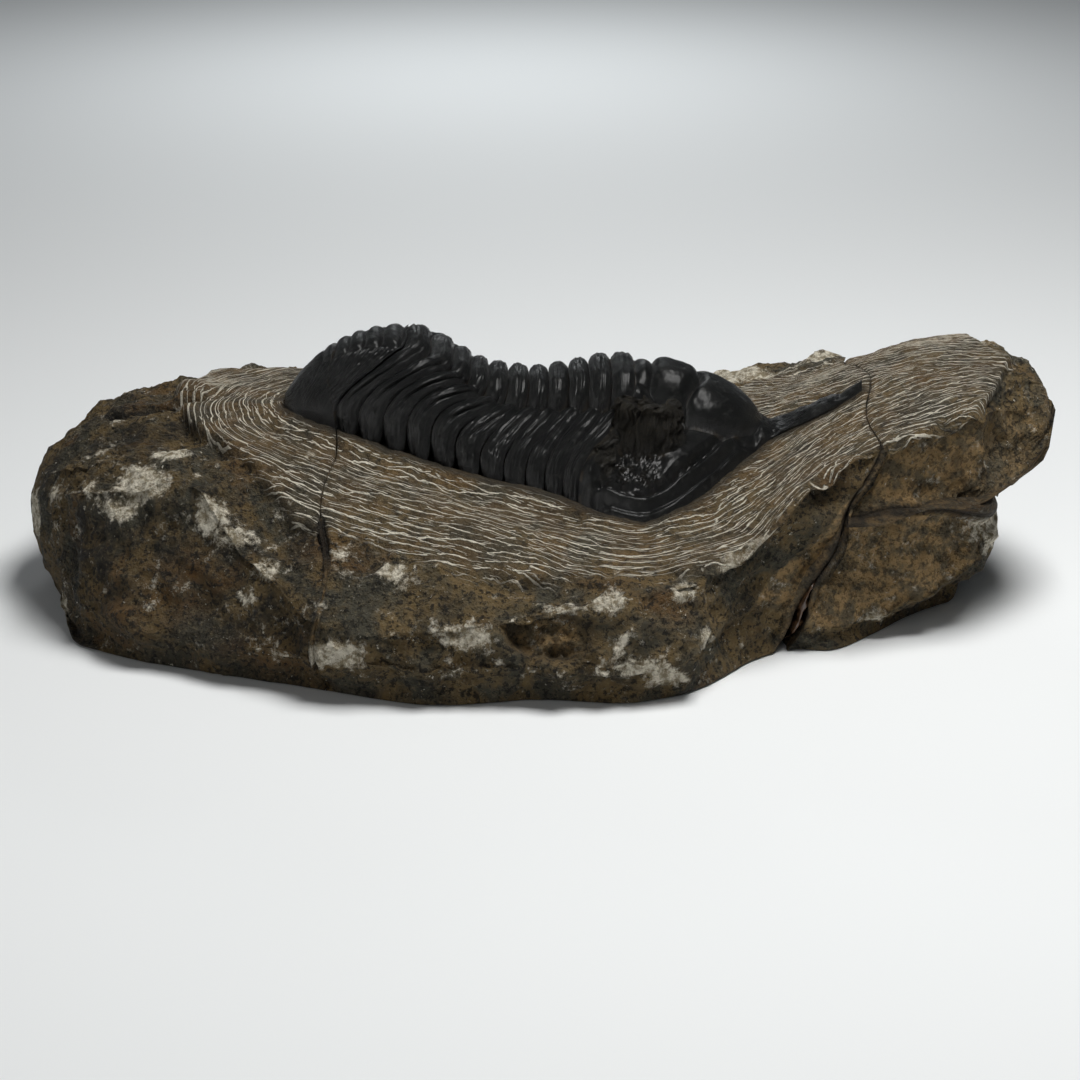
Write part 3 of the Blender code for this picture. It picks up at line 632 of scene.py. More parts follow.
def limestone(name, tone):
    """Limestone: brown and grey clouds, dark and pale grains, stains and bruises from the vertex layers,
    painted shade round the shield's edge and in hollows and cracks (with the dark glue lines), and in the
    worked zone the pale wandering strokes of the engraving tool, laid along contours round the animal."""
    m = Finish(name, Roughness=0.82, Specular_IOR_Level=0.28)
    grey, brown = (tuple(c * tone for c in stone_colour) for stone_colour in (GREY_STONE, BROWN_STONE))
    fresh = m.layer("fresh")
    colour = m.mix(m.noise(9, 6, roughness=0.62, warp=0.5).above(0.40, 0.58), grey, brown)
    fresh_colour = m.mix(m.noise(2.2, 6, roughness=0.65).above(0.40, 0.60), FRESH_BROWN, FRESH_GREY)
    colour = m.mix(fresh, colour, fresh_colour)
    coats = m.noise(7, 6, warp=0.8).above(0.50, 0.66) * (1.65 - 1.2 * tone)
    coats = (coats + m.layer("coat") * m.noise(4, 4).above(0.3, 0.62)) * (1 - fresh * 0.75)
    colour = m.mix(coats.math("MINIMUM", 0.92), colour, DARK_STONE)
    stain = m.noise(10, 5, warp=0.6).above(0.56, 0.70) * 0.55
    stain = stain + m.layer("rust") * m.noise(3, 4).above(0.25, 0.6) * 0.8
    colour = m.mix(stain.math("MINIMUM", 1.0), colour, RUST)
    grain = m.noise(0.9, 3, roughness=0.7)
    colour = m.mix(grain.above(0.50, 0.60) * (0.85 - fresh * 0.25), colour, DARK_STONE)
    colour = m.mix(m.noise(0.6, 4, roughness=0.7).above(0.53, 0.66) * 0.30, colour, PALE_GRAIN)
    fleck = m.noise(1.4, 5, roughness=0.8).above(0.64, 0.69)
    colour = m.mix(fleck * 0.8, colour, CREAM)
    speck = m.noise(1.3, 6, roughness=0.75)
    bruised = m.layer("bruise") * 1.85 + (speck - 0.5) * 2.6 + (m.noise(4.5, 4) - 0.5) * 2.4
    colour = m.mix(bruised.above(0.30, 1.05) * 0.9, colour, m.mix(speck.above(0.40, 0.62), CRUSHED, CREAM))

    way = m.node("ShaderNodeUVMap", {"uv_map": "Way"}, {})
    along, across = (m.node("ShaderNodeSeparateXYZ", {}, [way], axis) for axis in ("X", "Y"))

    def strokes_of(spacing, lean, seed, width, dash):
        """Lines a spacing apart that lean a little across the contours, wander, and break into dashes."""
        spot = m.node("ShaderNodeCombineXYZ", {}, [along / 6.0, across / 4.0, seed])
        push = m.noise(ONE_UNIT, 3, spot, 0.6)
        phase = (across / spacing + along * (lean / spacing) + push * 1.8).math("FRACT")
        line = ((phase - 0.5).math("ABSOLUTE") * 2).above(1 - width, 1.0 - width * 0.5)
        spot = m.node("ShaderNodeCombineXYZ", {}, [along / dash, across / (spacing * 0.8), seed + 5.0])
        return line * m.noise(ONE_UNIT, 2, spot, 0.6).above(0.46, 0.50)

    strokes = strokes_of(1.20, 0.085, 1.7, 0.18, 5.0).math("MAXIMUM", strokes_of(1.45, -0.14, 6.1, 0.16, 4.0))
    strokes = strokes.math("MAXIMUM", strokes_of(0.85, 0.02, 9.3, 0.17, 2.0) * 0.42)
    worked, bed = m.layer("worked"), m.layer("bed")
    patchy = m.noise(8, 4).above(0.3, 0.62) * 0.35 + 0.85
    inked = strokes * patchy * worked * (1 - bed * 0.85) * (m.noise(0.5, 2) * 0.9 + 0.75)
    worked_colour = m.mix(m.noise(6, 5).above(0.42, 0.60), WORKED_GREY, WORKED_BROWN)
    ground = m.mix(worked * 0.45, colour, worked_colour)
    ground = m.mix(worked * m.noise(1.6, 4).above(0.52, 0.66) * 0.55, ground, WORKED_DARK)
    colour = m.mix(inked.math("MINIMUM", 0.92), ground, CREAM)
    # Painted shade on the stone round the shield's edge.
    colour = m.mix(bed * 0.75, colour, SHIELD_EDGE_SHADE)
    # Painted shade in hollows and cracks, with the dark of the glue lines along the breaks.
    colour = m.mix(m.layer("deep").math("MINIMUM", 1.0) * 0.9, colour, HOLLOW_SHADE_AND_JOINTS)
    m.set("Base Color", colour)
    m.set("Roughness", 0.9 - m.noise(5, 3) * 0.22 - coats.above(0.3, 0.9) * 0.15)
    relief = grain * 0.7 + m.noise(0.35, 2) * 0.35 + speck * 0.8 + m.noise(3.0, 4) * 1.2
    m.bump(relief + strokes * worked * 0.6, 1.6)
    return m.material


BROWN_LIMESTONE = limestone("limestone_brown", 1.0)
DARK_LIMESTONE = limestone("limestone_grey_brown", 0.75)
for piece, node, slot in STONES:
    piece.data.materials.append(DARK_LIMESTONE if piece is left_stone else BROWN_LIMESTONE)


# ---- The filler ------------------------------------------------------------------------------------------
# Brown glossy resin, pressed into the low end of the slanting break while soft and left as it set.

up_it = np.linspace(0.6, 11.4, int(90 * FINE))[:, None]
round_it = np.linspace(0, 2 * np.pi, int(72 * FINE), endpoint=False)[None, :]
taper = np.sqrt(np.maximum(1 - ((up_it - 6.0) / 5.5) ** 2, 0.02))
wide = (0.75 + 0.28 * np.sin(up_it * 1.9) + 0.16 * np.sin(up_it * 4.3 + 1)) * taper
front = curve([(0, -24.2), (5, -26.2), (9, -26.6), (12, -26.9)], up_it)
spot = np.stack(np.broadcast_arrays(np.cos(round_it) * 2, np.sin(round_it) * 2, up_it), -1)
wide = wide * (1 + 0.25 * lattice_noise(spot, 1.2, 200)) + 0.06 * lattice_noise(spot, 0.5, 201)
deep_y = front + 3.2 + 3.6 * taper * np.cos(round_it) * (1 + 0.06 * lattice_noise(spot, 1.5, 202))
rings = np.stack([second_break(deep_y, up_it) + wide * np.sin(round_it), deep_y, up_it + 0 * round_it], -1)
filler = ring_mesh("resin_bead", rings, rings[0].mean(0), rings[-1].mean(0))
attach(filler, "root")
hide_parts("resin_filler")
m = Finish("resin_brown", Coat_Weight=0.6, Coat_Roughness=0.12, Specular_IOR_Level=0.5)
m.set("Base Color", m.mix(m.noise(2.5, 4).above(0.35, 0.65), (0.030, 0.016, 0.008), (0.075, 0.038, 0.018)))
m.set("Roughness", m.noise(1.2, 3) * 0.35 + 0.15)
m.bump(m.noise(0.7, 3), 0.25)
filler.data.materials.append(m.material)


# ---- The animal's shield: thorax -------------------------------------------------------------------------
# Eleven overlapping plates of black calcite. Each has a rounded axial ring and, on both sides, a pleura of
# two bands that sweeps down and back into a rounded lobe. They lie one on the next and are bedded in the
# stone.

# The crest in side view, and the arch from crest to margin as (share across, share of the half width,
# height)
CREST = [(-39.2, 31.9), (-37.5, 34.6), (-34, 38.2), (-30, 40.8), (-26, 42.2), (-22.5, 42.7), (-18, 42.2),
         (-14, 40.2), (-9.5, 37.6), (-4.8, 36.3), (0, 36.0), (4.5, 36.7), (9, 37.6), (14, 38.0), (18, 38.2),
         (24, 36.9), (29.5, 33.8), (33, 29.6), (35.5, 27.4), (40, 29.5), (45, 31.6), (49.4, 32.8)]
ARCH = [(0.0, 0.0, 1.0), (0.10, 0.13, 0.98), (0.18, 0.22, 0.93), (0.26, 0.31, 0.81), (0.32, 0.37, 0.69),
        (0.38, 0.44, 0.695), (0.48, 0.55, 0.64), (0.58, 0.65, 0.545), (0.68, 0.745, 0.41),
        (0.78, 0.835, 0.25), (0.88, 0.915, 0.06), (1.0, 0.965, -0.16)]
# Where the borders between the plates cross the crest and meet the margin, and how they sweep from one to
# the other, as (share across, share of the way)
CREST_BORDERS = [14.4, 10.8, 7.3, 4.25, 1.25, -1.65, -4.7, -7.65, -10.2, -12.75, -16.1, -20.2]
MARGIN_BORDERS = [5.6, 3.2, 0.6, -2.2, -5.4, -8.9, -12.6, -16.3, -20.0, -23.6, -27.4, -30.8]
SWEEP = [(0.0, 0.0), (0.30, 0.05), (0.45, 0.30), (0.80, 0.97), (1.0, 1.0)]


def shield_point(x, s):
    """The smooth shield: s is -1 on the near margin, 0 on the crest and 1 on the far margin. In front the
    pleurae stand off from the axis as a shelf; behind, the arch turns into one dome."""
    a = np.abs(s)
    low = curve(MARGIN, x)
    out = curve(ARCH, a, 1)
    dome = np.clip(1 - (out / 0.965) ** 2.1, 0, 1) ** 0.8 - 0.16 * step(0.88, 1.0, a)
    domed = step(-3, -17, x)
    rise = curve(ARCH, a, 2) * (1 - domed) + dome * domed
    return np.stack([x, np.sign(s) * curve(HALF_WIDTH, x) * out, low + (curve(CREST, x) - low) * rise], -1)


def upward(p):
    """The surface's normals, turned to the side that faces up on the crest."""
    normal = np.cross(np.gradient(p, axis=0), np.gradient(p, axis=1))
    normal /= np.maximum(np.linalg.norm(normal, axis=-1, keepdims=True), 1e-9)
    return normal * np.sign(normal[..., 2].mean())


def bead(t, centre, half):
    """A half ellipse from 0 at its ends to 1 at its centre."""
    return np.sqrt(np.clip(1 - ((t - centre) / half) ** 2, 0, 1))


def border(k, a):
    """The x of the border between two plates, a being 0 on the crest and 1 on the margin."""
    return CREST_BORDERS[k] + (MARGIN_BORDERS[k] - CREST_BORDERS[k]) * curve(SWEEP, a)


def shield_mesh(name, top, below, cavity, flank, gloss=0.0, rock=0.0):
    """A closed plate: rings of its top and of the points below, with the four numbers that its finish
    reads. Below the top, cavity and flank are 1 and gloss and rock are 0."""
    rings = np.concatenate([top, below], 1)
    layers = {}
    for key, values, beyond in (("cavity", cavity, 1), ("flank", flank, 1), ("gloss", gloss, 0),
                                ("rock", rock, 0)):
        layers[key] = np.full(rings.shape[:2], float(beyond))
        layers[key][:, :top.shape[1]] = values
    return ring_mesh(name, rings, rings[0].mean(0), rings[-1].mean(0), layers)


def plate(k):
    """Thoracic plate k: columns of s run across it and rows of t along the body, 0 at its front border. On
    the smooth shield stand a half ellipse as the axial ring, two pleural bands with a furrow between them
    and a rounded lobe, with wrinkles; a lower copy of the shield closes it below."""
    columns, rows = int(190 * FINE), int(46 * FINE)
    u = np.linspace(-1, 1, columns)[:, None]
    s = np.clip(u * (1.22 - 0.22 * u * u), -0.9995, 0.9995)
    a = np.abs(s)
    t = np.linspace(0, 1, rows)[None, :]
    t = t + 0.035 * np.sin(2 * np.pi * t)
    lobe = np.sqrt(1 - 0.96 * np.clip((a - 0.86) / 0.12, 0, 1) ** 2.6)
    narrow = 1 - 0.05 * step(0.45, 0.75, a)

    def on_shield(share):
        """The smooth shield at a share of the plate's length, which shrinks to nothing round the lobes."""
        place = 0.5 + (share - 0.5) * lobe * narrow
        x = border(k, a) * (1 - place) + border(k + 1, a) * place
        return shield_point(x, s + 0 * place)

    base = on_shield(t)
    spot = np.stack(np.broadcast_arrays(s * 25, t * 3.2, 9.0 * k), -1)
    axis = 1.55 * bead(t, 0.55 + 0.02 * lattice_noise(spot, 6.0, 301), 0.50) - 1.15
    furrow = 0.36 + 0.22 * np.clip((a - 0.35) / 0.4, 0, 1)
    bands = 1.45 * bead(t, 0.52, 0.54) ** 0.8 - 1.0
    bands = bands - 0.55 * bell(t, furrow, 0.055) - 0.18 * step(furrow + 0.1, furrow - 0.1, t)
    end = 1.25 * np.sqrt(np.clip(1 - np.abs((t - 0.5) / 0.51) ** 3.2, 0, 1)) - 0.95
    ring, tip = 1 - step(0.25, 0.33, a), step(0.62, 0.80, a)
    height = ring * axis + (1 - ring) * ((1 - tip) * bands + tip * end)
    shelf = 1 - 0.75 * step(-3, -15, base[..., 0])
    height -= (0.75 * bell(a, 0.325, 0.026) * (1 - 0.4 * bell(t, 0.6, 0.3))
               + 0.9 * bell(a, 0.31, 0.045) * (1 - bead(t, 0.55, 0.46))) * shelf
    height -= (1 - lobe) * 0.7 + 0.35 * step(0.75, 1.0, t) * bell(a, 0.315, 0.05)
    long_wrinkle = lattice_noise(spot * [0.22, 2.6, 1], 1.0, 303) * 0.6
    wrinkle = long_wrinkle + lattice_noise(spot * [0.6, 4.6, 1], 1.0, 304) * 0.4
    height += 0.17 * wrinkle * step(0.02, 0.12, t) + 0.14 * layered_noise(base, 2.6, 4, 305, 0.6)
    top = base + upward(base) * height[..., None]
    back = np.linspace(1, 0, 9)[None, :]
    under = on_shield(back)
    under = under - upward(under) * (3.2 - 1.2 * step(0.7, 0.95, a) + 0 * back)[..., None]
    cavity = np.clip(-height / 1.15, 0, 1)
    return shield_mesh(f"thorax_plate_{k + 1:02d}", top, under, cavity, step(0.55, 0.95, a))


PLATES = [(plate(k), f"thoracic_segment_{k + 1:02d}") for k in range(len(CREST_BORDERS) - 1)]


# ---- The animal's shield: tail ---------------------------------------------------------------------------
# One plate with rings and ribs that fade to a smooth border behind. The break through the stone split it in
# two; the halves were glued flush and a hairline shows.

TAIL_TIP = -39.0
# How many rings lie in front of a point of the crest, as (x, count)
TAIL_RINGS = [(-41, 10), (-36.3, 7), (-34.8, 6), (-33.05, 5), (-31.2, 4), (-29.1, 3), (-26.6, 2),
              (-23.9, 1), (-20.9, 0), (-19, -0.8)]


def skirts(x, y, z, floor, pull):
    """The far border of a shield carried down to the floor in eight steps, and the near one carried up from
    it, so that they close its rings; both are drawn in at the bottom by the share pull."""
    drop = np.linspace(0, 1, 8)[None, :]
    sides = []
    for edge, order in ((slice(-1, None), slice(1, None)), (slice(0, 1), slice(None, 0, -1))):
        edge_x, edge_y, edge_z, foot = (values[:, edge] for values in (x, y, z, floor))
        side = [edge_x + 0 * drop, edge_y * (1 - pull * drop), edge_z * (1 - drop) + foot * drop]
        sides.append(np.stack(side, -1)[:, order])
    return np.concatenate(sides, 1)


def tail_piece(name, front, rear, rows, dense_end=False):
    """Part of the tail plate between two x limits, each a function of a, y and z: rings across the body.
    Beads on the axis and ribs beside it follow a count of rings, carried out and back along the plates'
    sweep."""
    u = np.linspace(-1, 1, int(210 * FINE))[None, :]
    s = np.clip(u * (1.15 - 0.15 * u * u), -1, 1)
    a = np.abs(s)
    v = np.linspace(0, 1, int(rows * FINE))[:, None]
    if dense_end:
        v = 1 - (1 - v) ** 1.6
    x = front(a, 0 * a, 30 + 0 * a) * (1 - v) + rear(a, 0 * a, 30 + 0 * a) * v
    for _ in range(4):
        base = shield_point(x, s + 0 * v)
        x = front(a, base[..., 1], base[..., 2]) * (1 - v) + rear(a, base[..., 1], base[..., 2]) * v
    base = shield_point(x, s + 0 * v)
    w = curve(SWEEP, a)
    count = curve(TAIL_RINGS, (x + 21.91 * w) / (1 - 0.56 * w))
    phase = count - np.floor(count)
    ring = 1 - step(0.24, 0.32, a)
    ribs = step(0.90, 0.56, a) * step(0.28, 0.34, a)
    height = step(6.6, 2.6, count) * ring * (1.25 * bead(phase, 0.5, 0.52) - 1.0)
    rib = np.maximum(0.8 * bead(phase, 0.26, 0.30) - 0.6, 0.95 * bead(phase, 0.72, 0.30) - 0.6)
    height += ribs * step(6.2, 2.2, count) * rib * 0.95 - 0.12
    height -= 0.22 * bell(a, 0.31, 0.03) * step(6.4, 4.0, count)
    out = np.abs(base[..., 1])
    spot = np.stack([(x + out) * 0.5, (x - out) * 2.2, base[..., 2]], -1)
    height += 0.05 * lattice_noise(spot, 1.0, 320) + 0.12 * layered_noise(base, 3.2, 3, 321)
    height += 0.10 * lattice_noise(np.stack([s * 20 + 0 * v, x * 3.0, 0 * x], -1), 1.0, 322) * ribs
    top = base + upward(base) * height[..., None]
    floor = curve(MARGIN, x[:, -1:]) - 2.6 + 0 * x
    hairline = bell(np.abs(x - first_break(base[..., 1], base[..., 2])), 0, 0.22)
    cavity = np.maximum(np.clip(-height / 1.1, 0, 1), 0.9 * hairline)
    return shield_mesh(name, top, skirts(x, top[..., 1], top[..., 2], floor, 0.2), cavity, step(0.6, 1.0, a))


def tail_front(a, y, z):
    """The x where the tail plate starts, just under the last thoracic plate."""
    return border(len(CREST_BORDERS) - 1, a) - 0.06 + 0.9 * step(0.85, 1.0, a)


def tail_split_front(a, y, z):
    """The x of the break in the tail plate, on its front half."""
    return first_break(y, z) + 0.05 + 0 * a


def tail_split_rear(a, y, z):
    """The x of the break in the tail plate, on its rear half."""
    return first_break(y, z) - 0.05 + 0 * a


def tail_end(a, y, z):
    """The x of the tail's tip."""
    return TAIL_TIP + 0 * (a + y)


PLATES += [(tail_piece("tail_plate", tail_front, tail_split_front, 120), "pygidium"),
           (tail_piece("tail_plate_end", tail_split_rear, tail_end, 110, dense_end=True), "pygidium_tip")]


# ---- The animal's shield: head ---------------------------------------------------------------------------
# One shield: a bulbous frontal lobe, a rear lobe and a ring behind it on the axis, a cheek on each side
# with a rolled rim, and a bar running out in front. Both eyes keep a tower of unprepared dark rock.

SNOUT_TIP = 49.2
# The cheek's height over the margin along X and across it, and the crest of the rear lobe
CHEEK_RISE = [(0, 13), (5, 12.5), (10, 11.6), (16, 10.4), (22, 7.6), (27, 5.2), (31, 3.2), (34, 1.2),
              (50, 1.2)]
CHEEK_ARCH = [(0, 1.0), (0.3, 0.97), (0.48, 0.84), (0.62, 0.68), (0.75, 0.47), (0.86, 0.24), (0.94, 0.06),
              (1, -0.12)]
REAR_CREST = [(14, 36.9), (16.6, 37.2), (18.6, 37.75), (21, 37.3), (24.5, 35.9), (28, 34)]
AXIS_WIDTH = 6.9                                   # half the width of the rear lobe and the ring
LOBE_X, LOBE_Z, LOBE_TILT = 25.1, 28.9, np.radians(25)
LOBE_LENGTH, LOBE_WIDTH, LOBE_HEIGHT = 9.7, 8.5, 6.15    # half axes of the frontal lobe
EYE_X, EYE_Y = 15.8, 12.3


def shoulder(x, edge, width):
    """How far a lobe's surface has rolled off near its edge: 0 a width inside, 1 at the edge."""
    return 1 - np.sqrt(1 - np.clip((width - (x - edge)) / width, 0, 1) ** 2)


def softly_higher(first, second, blend):
    """The higher of two surfaces, rounded where they meet."""
    return (first + second + np.sqrt((first - second) ** 2 + blend * blend)) / 2


def frontal_lobe(x, y):
    """Where an ellipsoid tilted up in front lies under (x, y), and the z of its upper side there: the
    larger root of the quadratic in z that its equation gives."""
    dx = x - LOBE_X
    flat = 1 - (y / LOBE_WIDTH) ** 2
    ca, sa = np.cos(LOBE_TILT), np.sin(LOBE_TILT)
    p2, q2 = LOBE_LENGTH**2, LOBE_HEIGHT**2
    qa = sa * sa / p2 + ca * ca / q2
    qb = 2 * dx * ca * sa * (1 / q2 - 1 / p2)
    qc = dx * dx * (ca * ca / p2 + sa * sa / q2) - flat
    root = qb * qb - 4 * qa * qc
    return root > 0, LOBE_Z + (-qb + np.sqrt(np.maximum(root, 0))) / (2 * qa)


def axis_height(x, y):
    """The highest of the ring, the rear lobe and the frontal lobe, 0 outside them. The ring is half an
    ellipse across, the rear lobe a crest with an elliptic section, and each rolls off towards the furrow
    beside it."""
    arc = np.sqrt(np.clip(1 - (y / AXIS_WIDTH) ** 2, 0, 1))
    on_axis = np.abs(y) < AXIS_WIDTH
    ring = 30.5 + 6.9 * arc - 1.6 * (1 - bead(x, 15.75 - 0.02 * y * y, 1.6))
    ring = np.where((np.abs(x - 15.75 + 0.02 * y * y) < 1.7) & on_axis, ring, 0)
    rear_furrow, front_furrow = 16.9 - 0.02 * y * y, 24.3 - 2.4 * step(1.0, 7.0, np.abs(y))
    lobe = 30.2 + (curve(REAR_CREST, x) - 30.2) * arc
    lobe -= 1.8 * shoulder(x, rear_furrow, 1.5) + 1.7 * shoulder(-x, -front_furrow, 1.6)
    lobe = np.where((x > rear_furrow) & (x < front_furrow) & on_axis, lobe, 0)
    there, front = frontal_lobe(x, y)
    front -= 2.4 * shoulder(x, front_furrow, 2.0)
    front = np.where(there & (x > front_furrow), front, 0)
    return np.maximum(np.maximum(ring, lobe), front)


def head():
    """The head shield: rings across the body from its rear border to the tip of the bar. Its height is the
    cheek's arch with a rolled rim, joined softly to the axis and to the bar's half ellipse, then the eyes'
    towers and layers of noise."""
    columns, rows = int(262 * FINE), int(350 * FINE)
    u = np.linspace(-1, 1, columns)[None, :]
    s = u * (1.10 - 0.10 * u * u)
    e = np.abs(s)
    a = np.interp(e, [row[1] for row in ARCH], [row[0] for row in ARCH])
    v = curve([(0, 0), (0.80, 0.56), (1, 1)], np.linspace(0, 1, rows)[:, None])
    x = (border(0, a) + 0.06) * (1 - v) + SNOUT_TIP * v
    y = curve(HALF_WIDTH, x) * s
    rear = x - border(0, a)
    margin = curve(MARGIN, x)
    arch = margin + (curve(CREST, np.minimum(x, 16)) - margin) * curve(ARCH, a, 2)
    cheek = margin + curve(CHEEK_RISE, x) * curve(CHEEK_ARCH, e)
    joined = step(5.0, 0.5, rear)
    cheek = cheek * (1 - joined) + np.minimum(arch, cheek + 4) * joined
    cheek += step(0.33, 0.42, e) * (0.75 * bell(rear, 1.3, 0.8) - 0.7 * bell(rear, 2.9, 0.7))
    inside = -from_outline(x, y, HALF_WIDTH)[0]
    wide = step(32, 27, x)
    rim = (0.55 * bell(inside, 0.75, 0.55) - 0.45 * bell(inside, 1.65, 0.35) + 0.65 * bell(inside, 2.6, 0.65)
           - 0.75 * bell(inside, 3.9, 0.55)) * wide * step(0.5, 3.0, rear)
    band = step(15, 20, x) * step(4.2, 5.0, inside) * step(9.6, 7.2, inside) * wide
    cheek += rim * (1 + 0.35 * layered_noise(np.stack([x, y, 0 * x], -1), 3.0, 3, 352)) + band * 0.4

    cheek_side = cheek - 0.5 * bell(np.abs(y), 8.0, 0.9) * step(34, 30, x)
    z = softly_higher(cheek_side, axis_height(x, y), 0.25)
    bar = step(32.5, 34.5, x)
    rod = margin + (curve(CREST, x) - margin + 0.4) * np.sqrt(np.clip(1 - e**2.4, 0, 1)) - 0.3
    z = z * (1 - bar) + bar * softly_higher(z, rod, 0.2)

    spot = np.stack([x, y, z], -1)
    flat = spot * [1, 1, 0]
    side = np.abs(y) - EYE_Y + 0.06 * (x - 15.5)
    away = (np.abs((x - EYE_X) / 4.7) ** 3.0 + np.abs(side / 3.1) ** 3.0) ** (1 / 3.0)
    away = away + 0.14 * lattice_noise(flat, 3.0, 330)
    summit = 34.6 + 0.7 * lattice_noise(flat, 2.2, 332) + 0.3 * lattice_noise(flat, 0.8, 333)
    summit += -1.6 * (y > 0) - 0.10 * (x - 13) + 0.5 * bell(x, 12.2, 1.0) - 0.4 * bell(x, 14.6, 0.9)
    tower = step(1.22, 0.90, away)
    z = z + np.maximum(summit - z, 0) * tower
    patch = bell(x, 9.6, 2.6) * bell(np.abs(y), 16.0, 4.2)
    crumbs = step(0.45, 0.75, patch + 0.25 * layered_noise(spot, 2.0, 3, 335)) * 0.8
    rock = np.clip(step(1.24, 1.08, away) + crumbs, 0, 1)
    under_eye = step(3.2, 4.8, inside + 0.8 * layered_noise(spot, 2.2, 3, 336)) * step(28, 22, x)
    under_eye = under_eye * step(2.0, 3.5, rear) * step(7.5, 9.0, np.abs(y)) * (1 - band)
    gloss = np.clip(under_eye * (1 - tower), 0, 1)
    pits = layered_noise(spot, 1.3, 3, 340, 0.6)
    z += gloss * (0.45 * pits - 0.45) + rock * 0.18 * layered_noise(spot, 0.8, 2, 341)
    z += tower * (1 - tower) * 0.8 * lattice_noise(flat, 1.3, 342)
    z += 0.12 * layered_noise(spot, 3.0, 4, 343, 0.55) + bar * 0.28 * layered_noise(spot, 1.6, 4, 344)
    z -= 0.35 * bell(np.hypot(x - 23.9, (np.abs(y) - 7.0) * 0.8), 0, 0.9)
    top = np.stack([x, y, z], -1)
    spot = top * [1.0, 1.0, 2.2]
    top[..., 0] += rock * 0.60 * layered_noise(spot, 2.2, 4, 350, 0.65)
    top[..., 1] += rock * 0.60 * layered_noise(spot, 1.8, 4, 351, 0.65)

    level = (np.roll(z, 6, 1) + np.roll(z, -6, 1)) / 2 + (np.roll(z, 6, 0) + np.roll(z, -6, 0)) / 2
    below = skirts(x, y, z, np.minimum(z, margin) - 1.6, 0.12)
    flank = step(0.55, 0.95, e) * step(35, 33, x)
    return shield_mesh("head_shield", top, below, np.clip(level / 2 - z, 0, 1), flank, gloss, rock)


PLATES.append((head(), "cephalon"))


def stretched(finish, size, turn):
    """Object coordinates turned and divided along each axis by a size in millimetres."""
    return finish.node("ShaderNodeMapping", {}, {"Vector": finish.place, "Rotation": turn,
                                                 "Scale": [1 / (v * MM) for v in size]})


# The three patterns on stretched coordinates have a noise size of 1, a thousandth of their unit, so they
# are too fine to show as streaks or layers: they only break up the black and roughen it.
m = Finish("black_calcite", Specular_IOR_Level=0.36, Coat_Roughness=0.28)
cavity, flank, gloss, rock = m.layer("cavity"), m.layer("flank"), m.layer("gloss"), m.layer("rock")
colour = m.mix(m.noise(6, 4, warp=0.5).above(0.36, 0.66), (0.0040, 0.0048, 0.0050), (0.0105, 0.0118, 0.0116))
colour = m.mix(flank * 0.45, colour, (0.0020, 0.0022, 0.0022))
# Pale grey spots away from the hollows: partly dust, partly a painted sheen on the raised tops. They also
# make the surface rougher.
dust_and_sheen = m.noise(1.1, 5, roughness=0.7).above(0.52, 0.70) * (1 - cavity.above(0.05, 0.4)) * 0.45
colour = m.mix(dust_and_sheen, colour, (0.075, 0.076, 0.068))
scratch = m.noise(1.0, 3, stretched(m, (0.5, 5.0, 0.9), (0.2, 0.5, 0.9))).above(0.64, 0.72)
colour = m.mix(scratch * 0.16, colour, (0.12, 0.115, 0.10))
dirt = cavity.above(0.45, 0.95) * m.noise(1.6, 4).above(0.38, 0.6)
colour = m.mix(dirt * 0.75, colour, (0.050, 0.036, 0.020))
glossy = m.mix(m.noise(1.5, 4).above(0.45, 0.65), (0.003, 0.003, 0.0025), (0.014, 0.010, 0.006))
colour = m.mix(gloss * 0.7, colour, glossy)
laid = m.noise(1.0, 4, stretched(m, (3.2, 3.2, 0.55), (0, 0, 0)), roughness=0.65)
rocky = m.mix(laid.above(0.47, 0.57), (0.003, 0.0028, 0.002), (0.058, 0.045, 0.023))
rocky = m.mix(m.noise(0.5, 2).above(0.60, 0.72) * 0.4, rocky, (0.10, 0.08, 0.045))
m.set("Base Color", m.mix(rock, colour, rocky))
wet = m.noise(0.8, 3).above(0.42, 0.60)
rough = m.noise(1.6, 5) * 0.34 + 0.22 + rock * 0.28 + dust_and_sheen * 0.6
m.set("Roughness", rough - gloss * wet * 0.16 * (1 - rock))
m.set("Coat Weight", (gloss * wet * 0.12 + 0.20) * (1 - rock * 0.9))
fine = m.noise(1.0, 3, stretched(m, (0.45, 2.4, 0.8), (0.1, 0.4, 0.6)))
relief = fine * 0.85 + m.noise(0.6, 4) * 0.75 + m.noise(2.0, 4) * 0.9 + gloss * m.noise(1.1, 4)
m.bump(relief + rock * laid * 3.0, 0.8)
for piece, node in PLATES:
    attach(piece, "root")
    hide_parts(node)
    piece.data.materials.append(m.material)


# ---- The table, the light and the camera -----------------------------------------------------------------
# A plain pale sheet under the stone. A broad soft light hangs above it, a low one behind makes the bright
# pool on the sheet, and a wide one fills in from the front left. The camera stands 0.42 m off, 20 degrees
# up.

floor_mesh = bpy.data.meshes.new("table")
floor_mesh.from_pydata([(-4, -4, 0), (4, -4, 0), (4, 8, 0), (-4, 8, 0)], [], [(0, 1, 2, 3)])
table = bpy.data.objects.new("table", floor_mesh)
bpy.context.scene.collection.objects.link(table)
paper = Finish("pale_table", Roughness=0.7, Specular_IOR_Level=0.2)
paper.shader.inputs["Base Color"].default_value = (0.80, 0.82, 0.83, 1)
table.data.materials.append(paper.material)

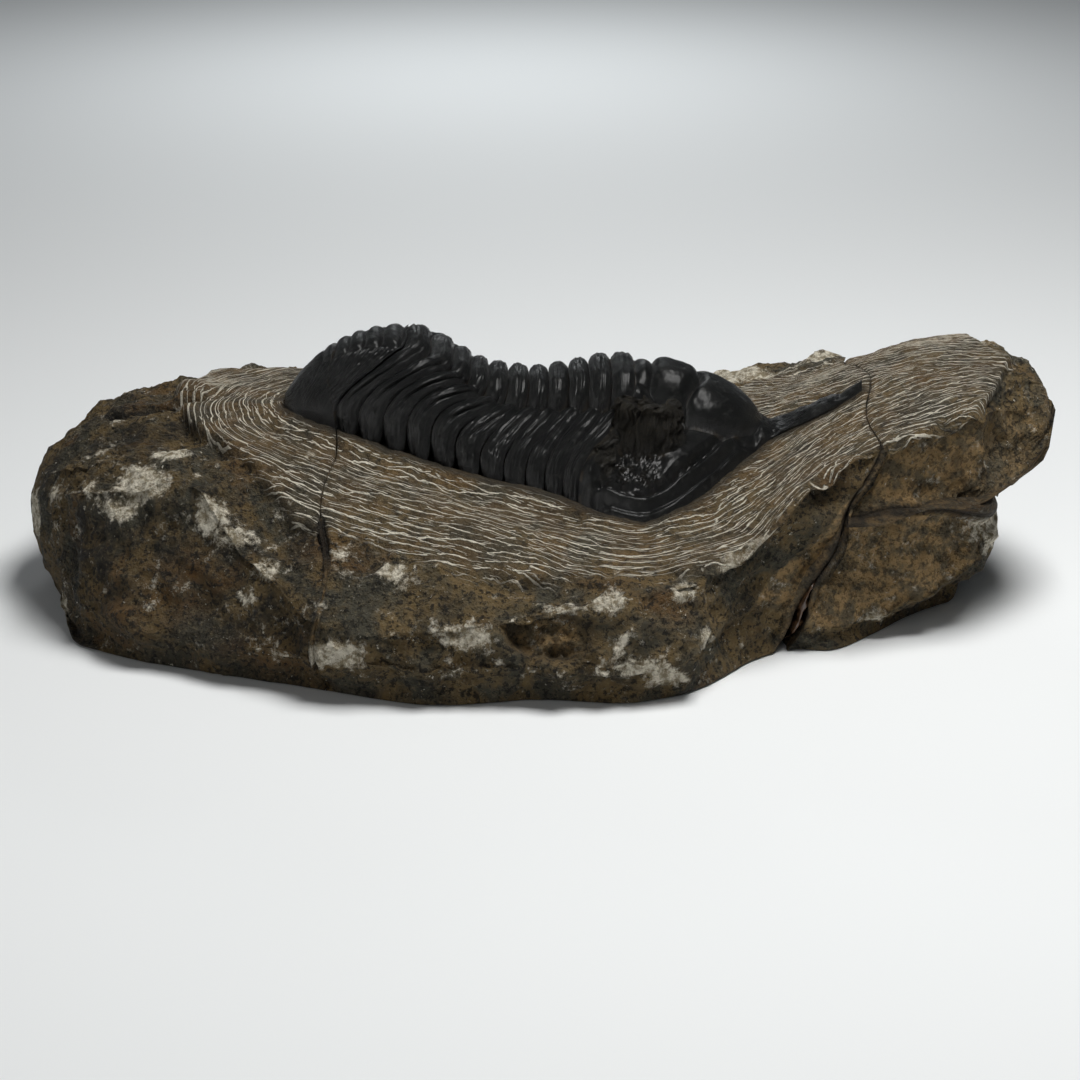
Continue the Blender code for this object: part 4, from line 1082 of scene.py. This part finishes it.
world = bpy.data.worlds.new("room")
bpy.context.scene.world = world
world.use_nodes = True
air = world.node_tree.nodes["Background"]
air.inputs["Color"].default_value = (0.86, 0.93, 1.0, 1)
air.inputs["Strength"].default_value = 0.06


def soft_light(name, place, aim, size, power, colour):
    """A rectangular area light at a place, turned to face a point: its axes are cross products with the way
    back."""
    light = bpy.data.lights.new(name, "AREA")
    light.shape, light.size, light.size_y = "RECTANGLE", size[0], size[1]
    light.energy, light.color = power, colour
    lamp = bpy.data.objects.new(name, light)
    back = np.array(place, float) - np.array(aim, float)
    back /= np.linalg.norm(back)
    right = np.cross([0, 0, 1], back) if abs(back[2]) < 0.99 else np.array([1.0, 0, 0])
    right /= np.linalg.norm(right)
    up = np.cross(back, right)
    lamp.matrix_world = Matrix([[right[k], up[k], back[k], place[k]] for k in range(3)] + [[0, 0, 0, 1]])
    bpy.context.scene.collection.objects.link(lamp)


soft_light("overhead", (0.095, -0.035, 0.41), (0.02, -0.03, 0), (0.22, 0.16), 1.90, (1.0, 0.99, 0.97))
soft_light("behind", (-0.015, 0.47, 0.22), (-0.015, 0.44, 0), (0.14, 0.14), 0.38, (0.96, 0.99, 1.0))
soft_light("front_fill", (-0.30, -0.75, 0.40), (-0.01, 0, 0.02), (0.5, 0.3), 0.95, (1.0, 0.98, 0.95))

camera = bpy.data.objects.new("camera", bpy.data.cameras.new("camera"))
bpy.context.scene.collection.objects.link(camera)
bpy.context.scene.camera = camera
TILT, DISTANCE, AIM = np.radians(20.0), 0.420, np.array([0.0, 0.0, 0.0083])
SENSOR, LENS = 36.0, 89.6    # millimetres
back = np.array([0, -np.cos(TILT), np.sin(TILT)])
up = np.array([0, np.sin(TILT), np.cos(TILT)])
stand = AIM + DISTANCE * back
camera.matrix_world = Matrix([[1, 0, 0, stand[0]], [0, up[1], back[1], stand[1]],
                              [0, up[2], back[2], stand[2]], [0, 0, 0, 1]])
camera.data.sensor_width = SENSOR
camera.data.lens = LENS
camera.data.clip_start = 0.01

scene = bpy.context.scene
scene.view_settings.view_transform = "Standard"
scene.view_settings.look = "None"

bpy.context.view_layer.update()
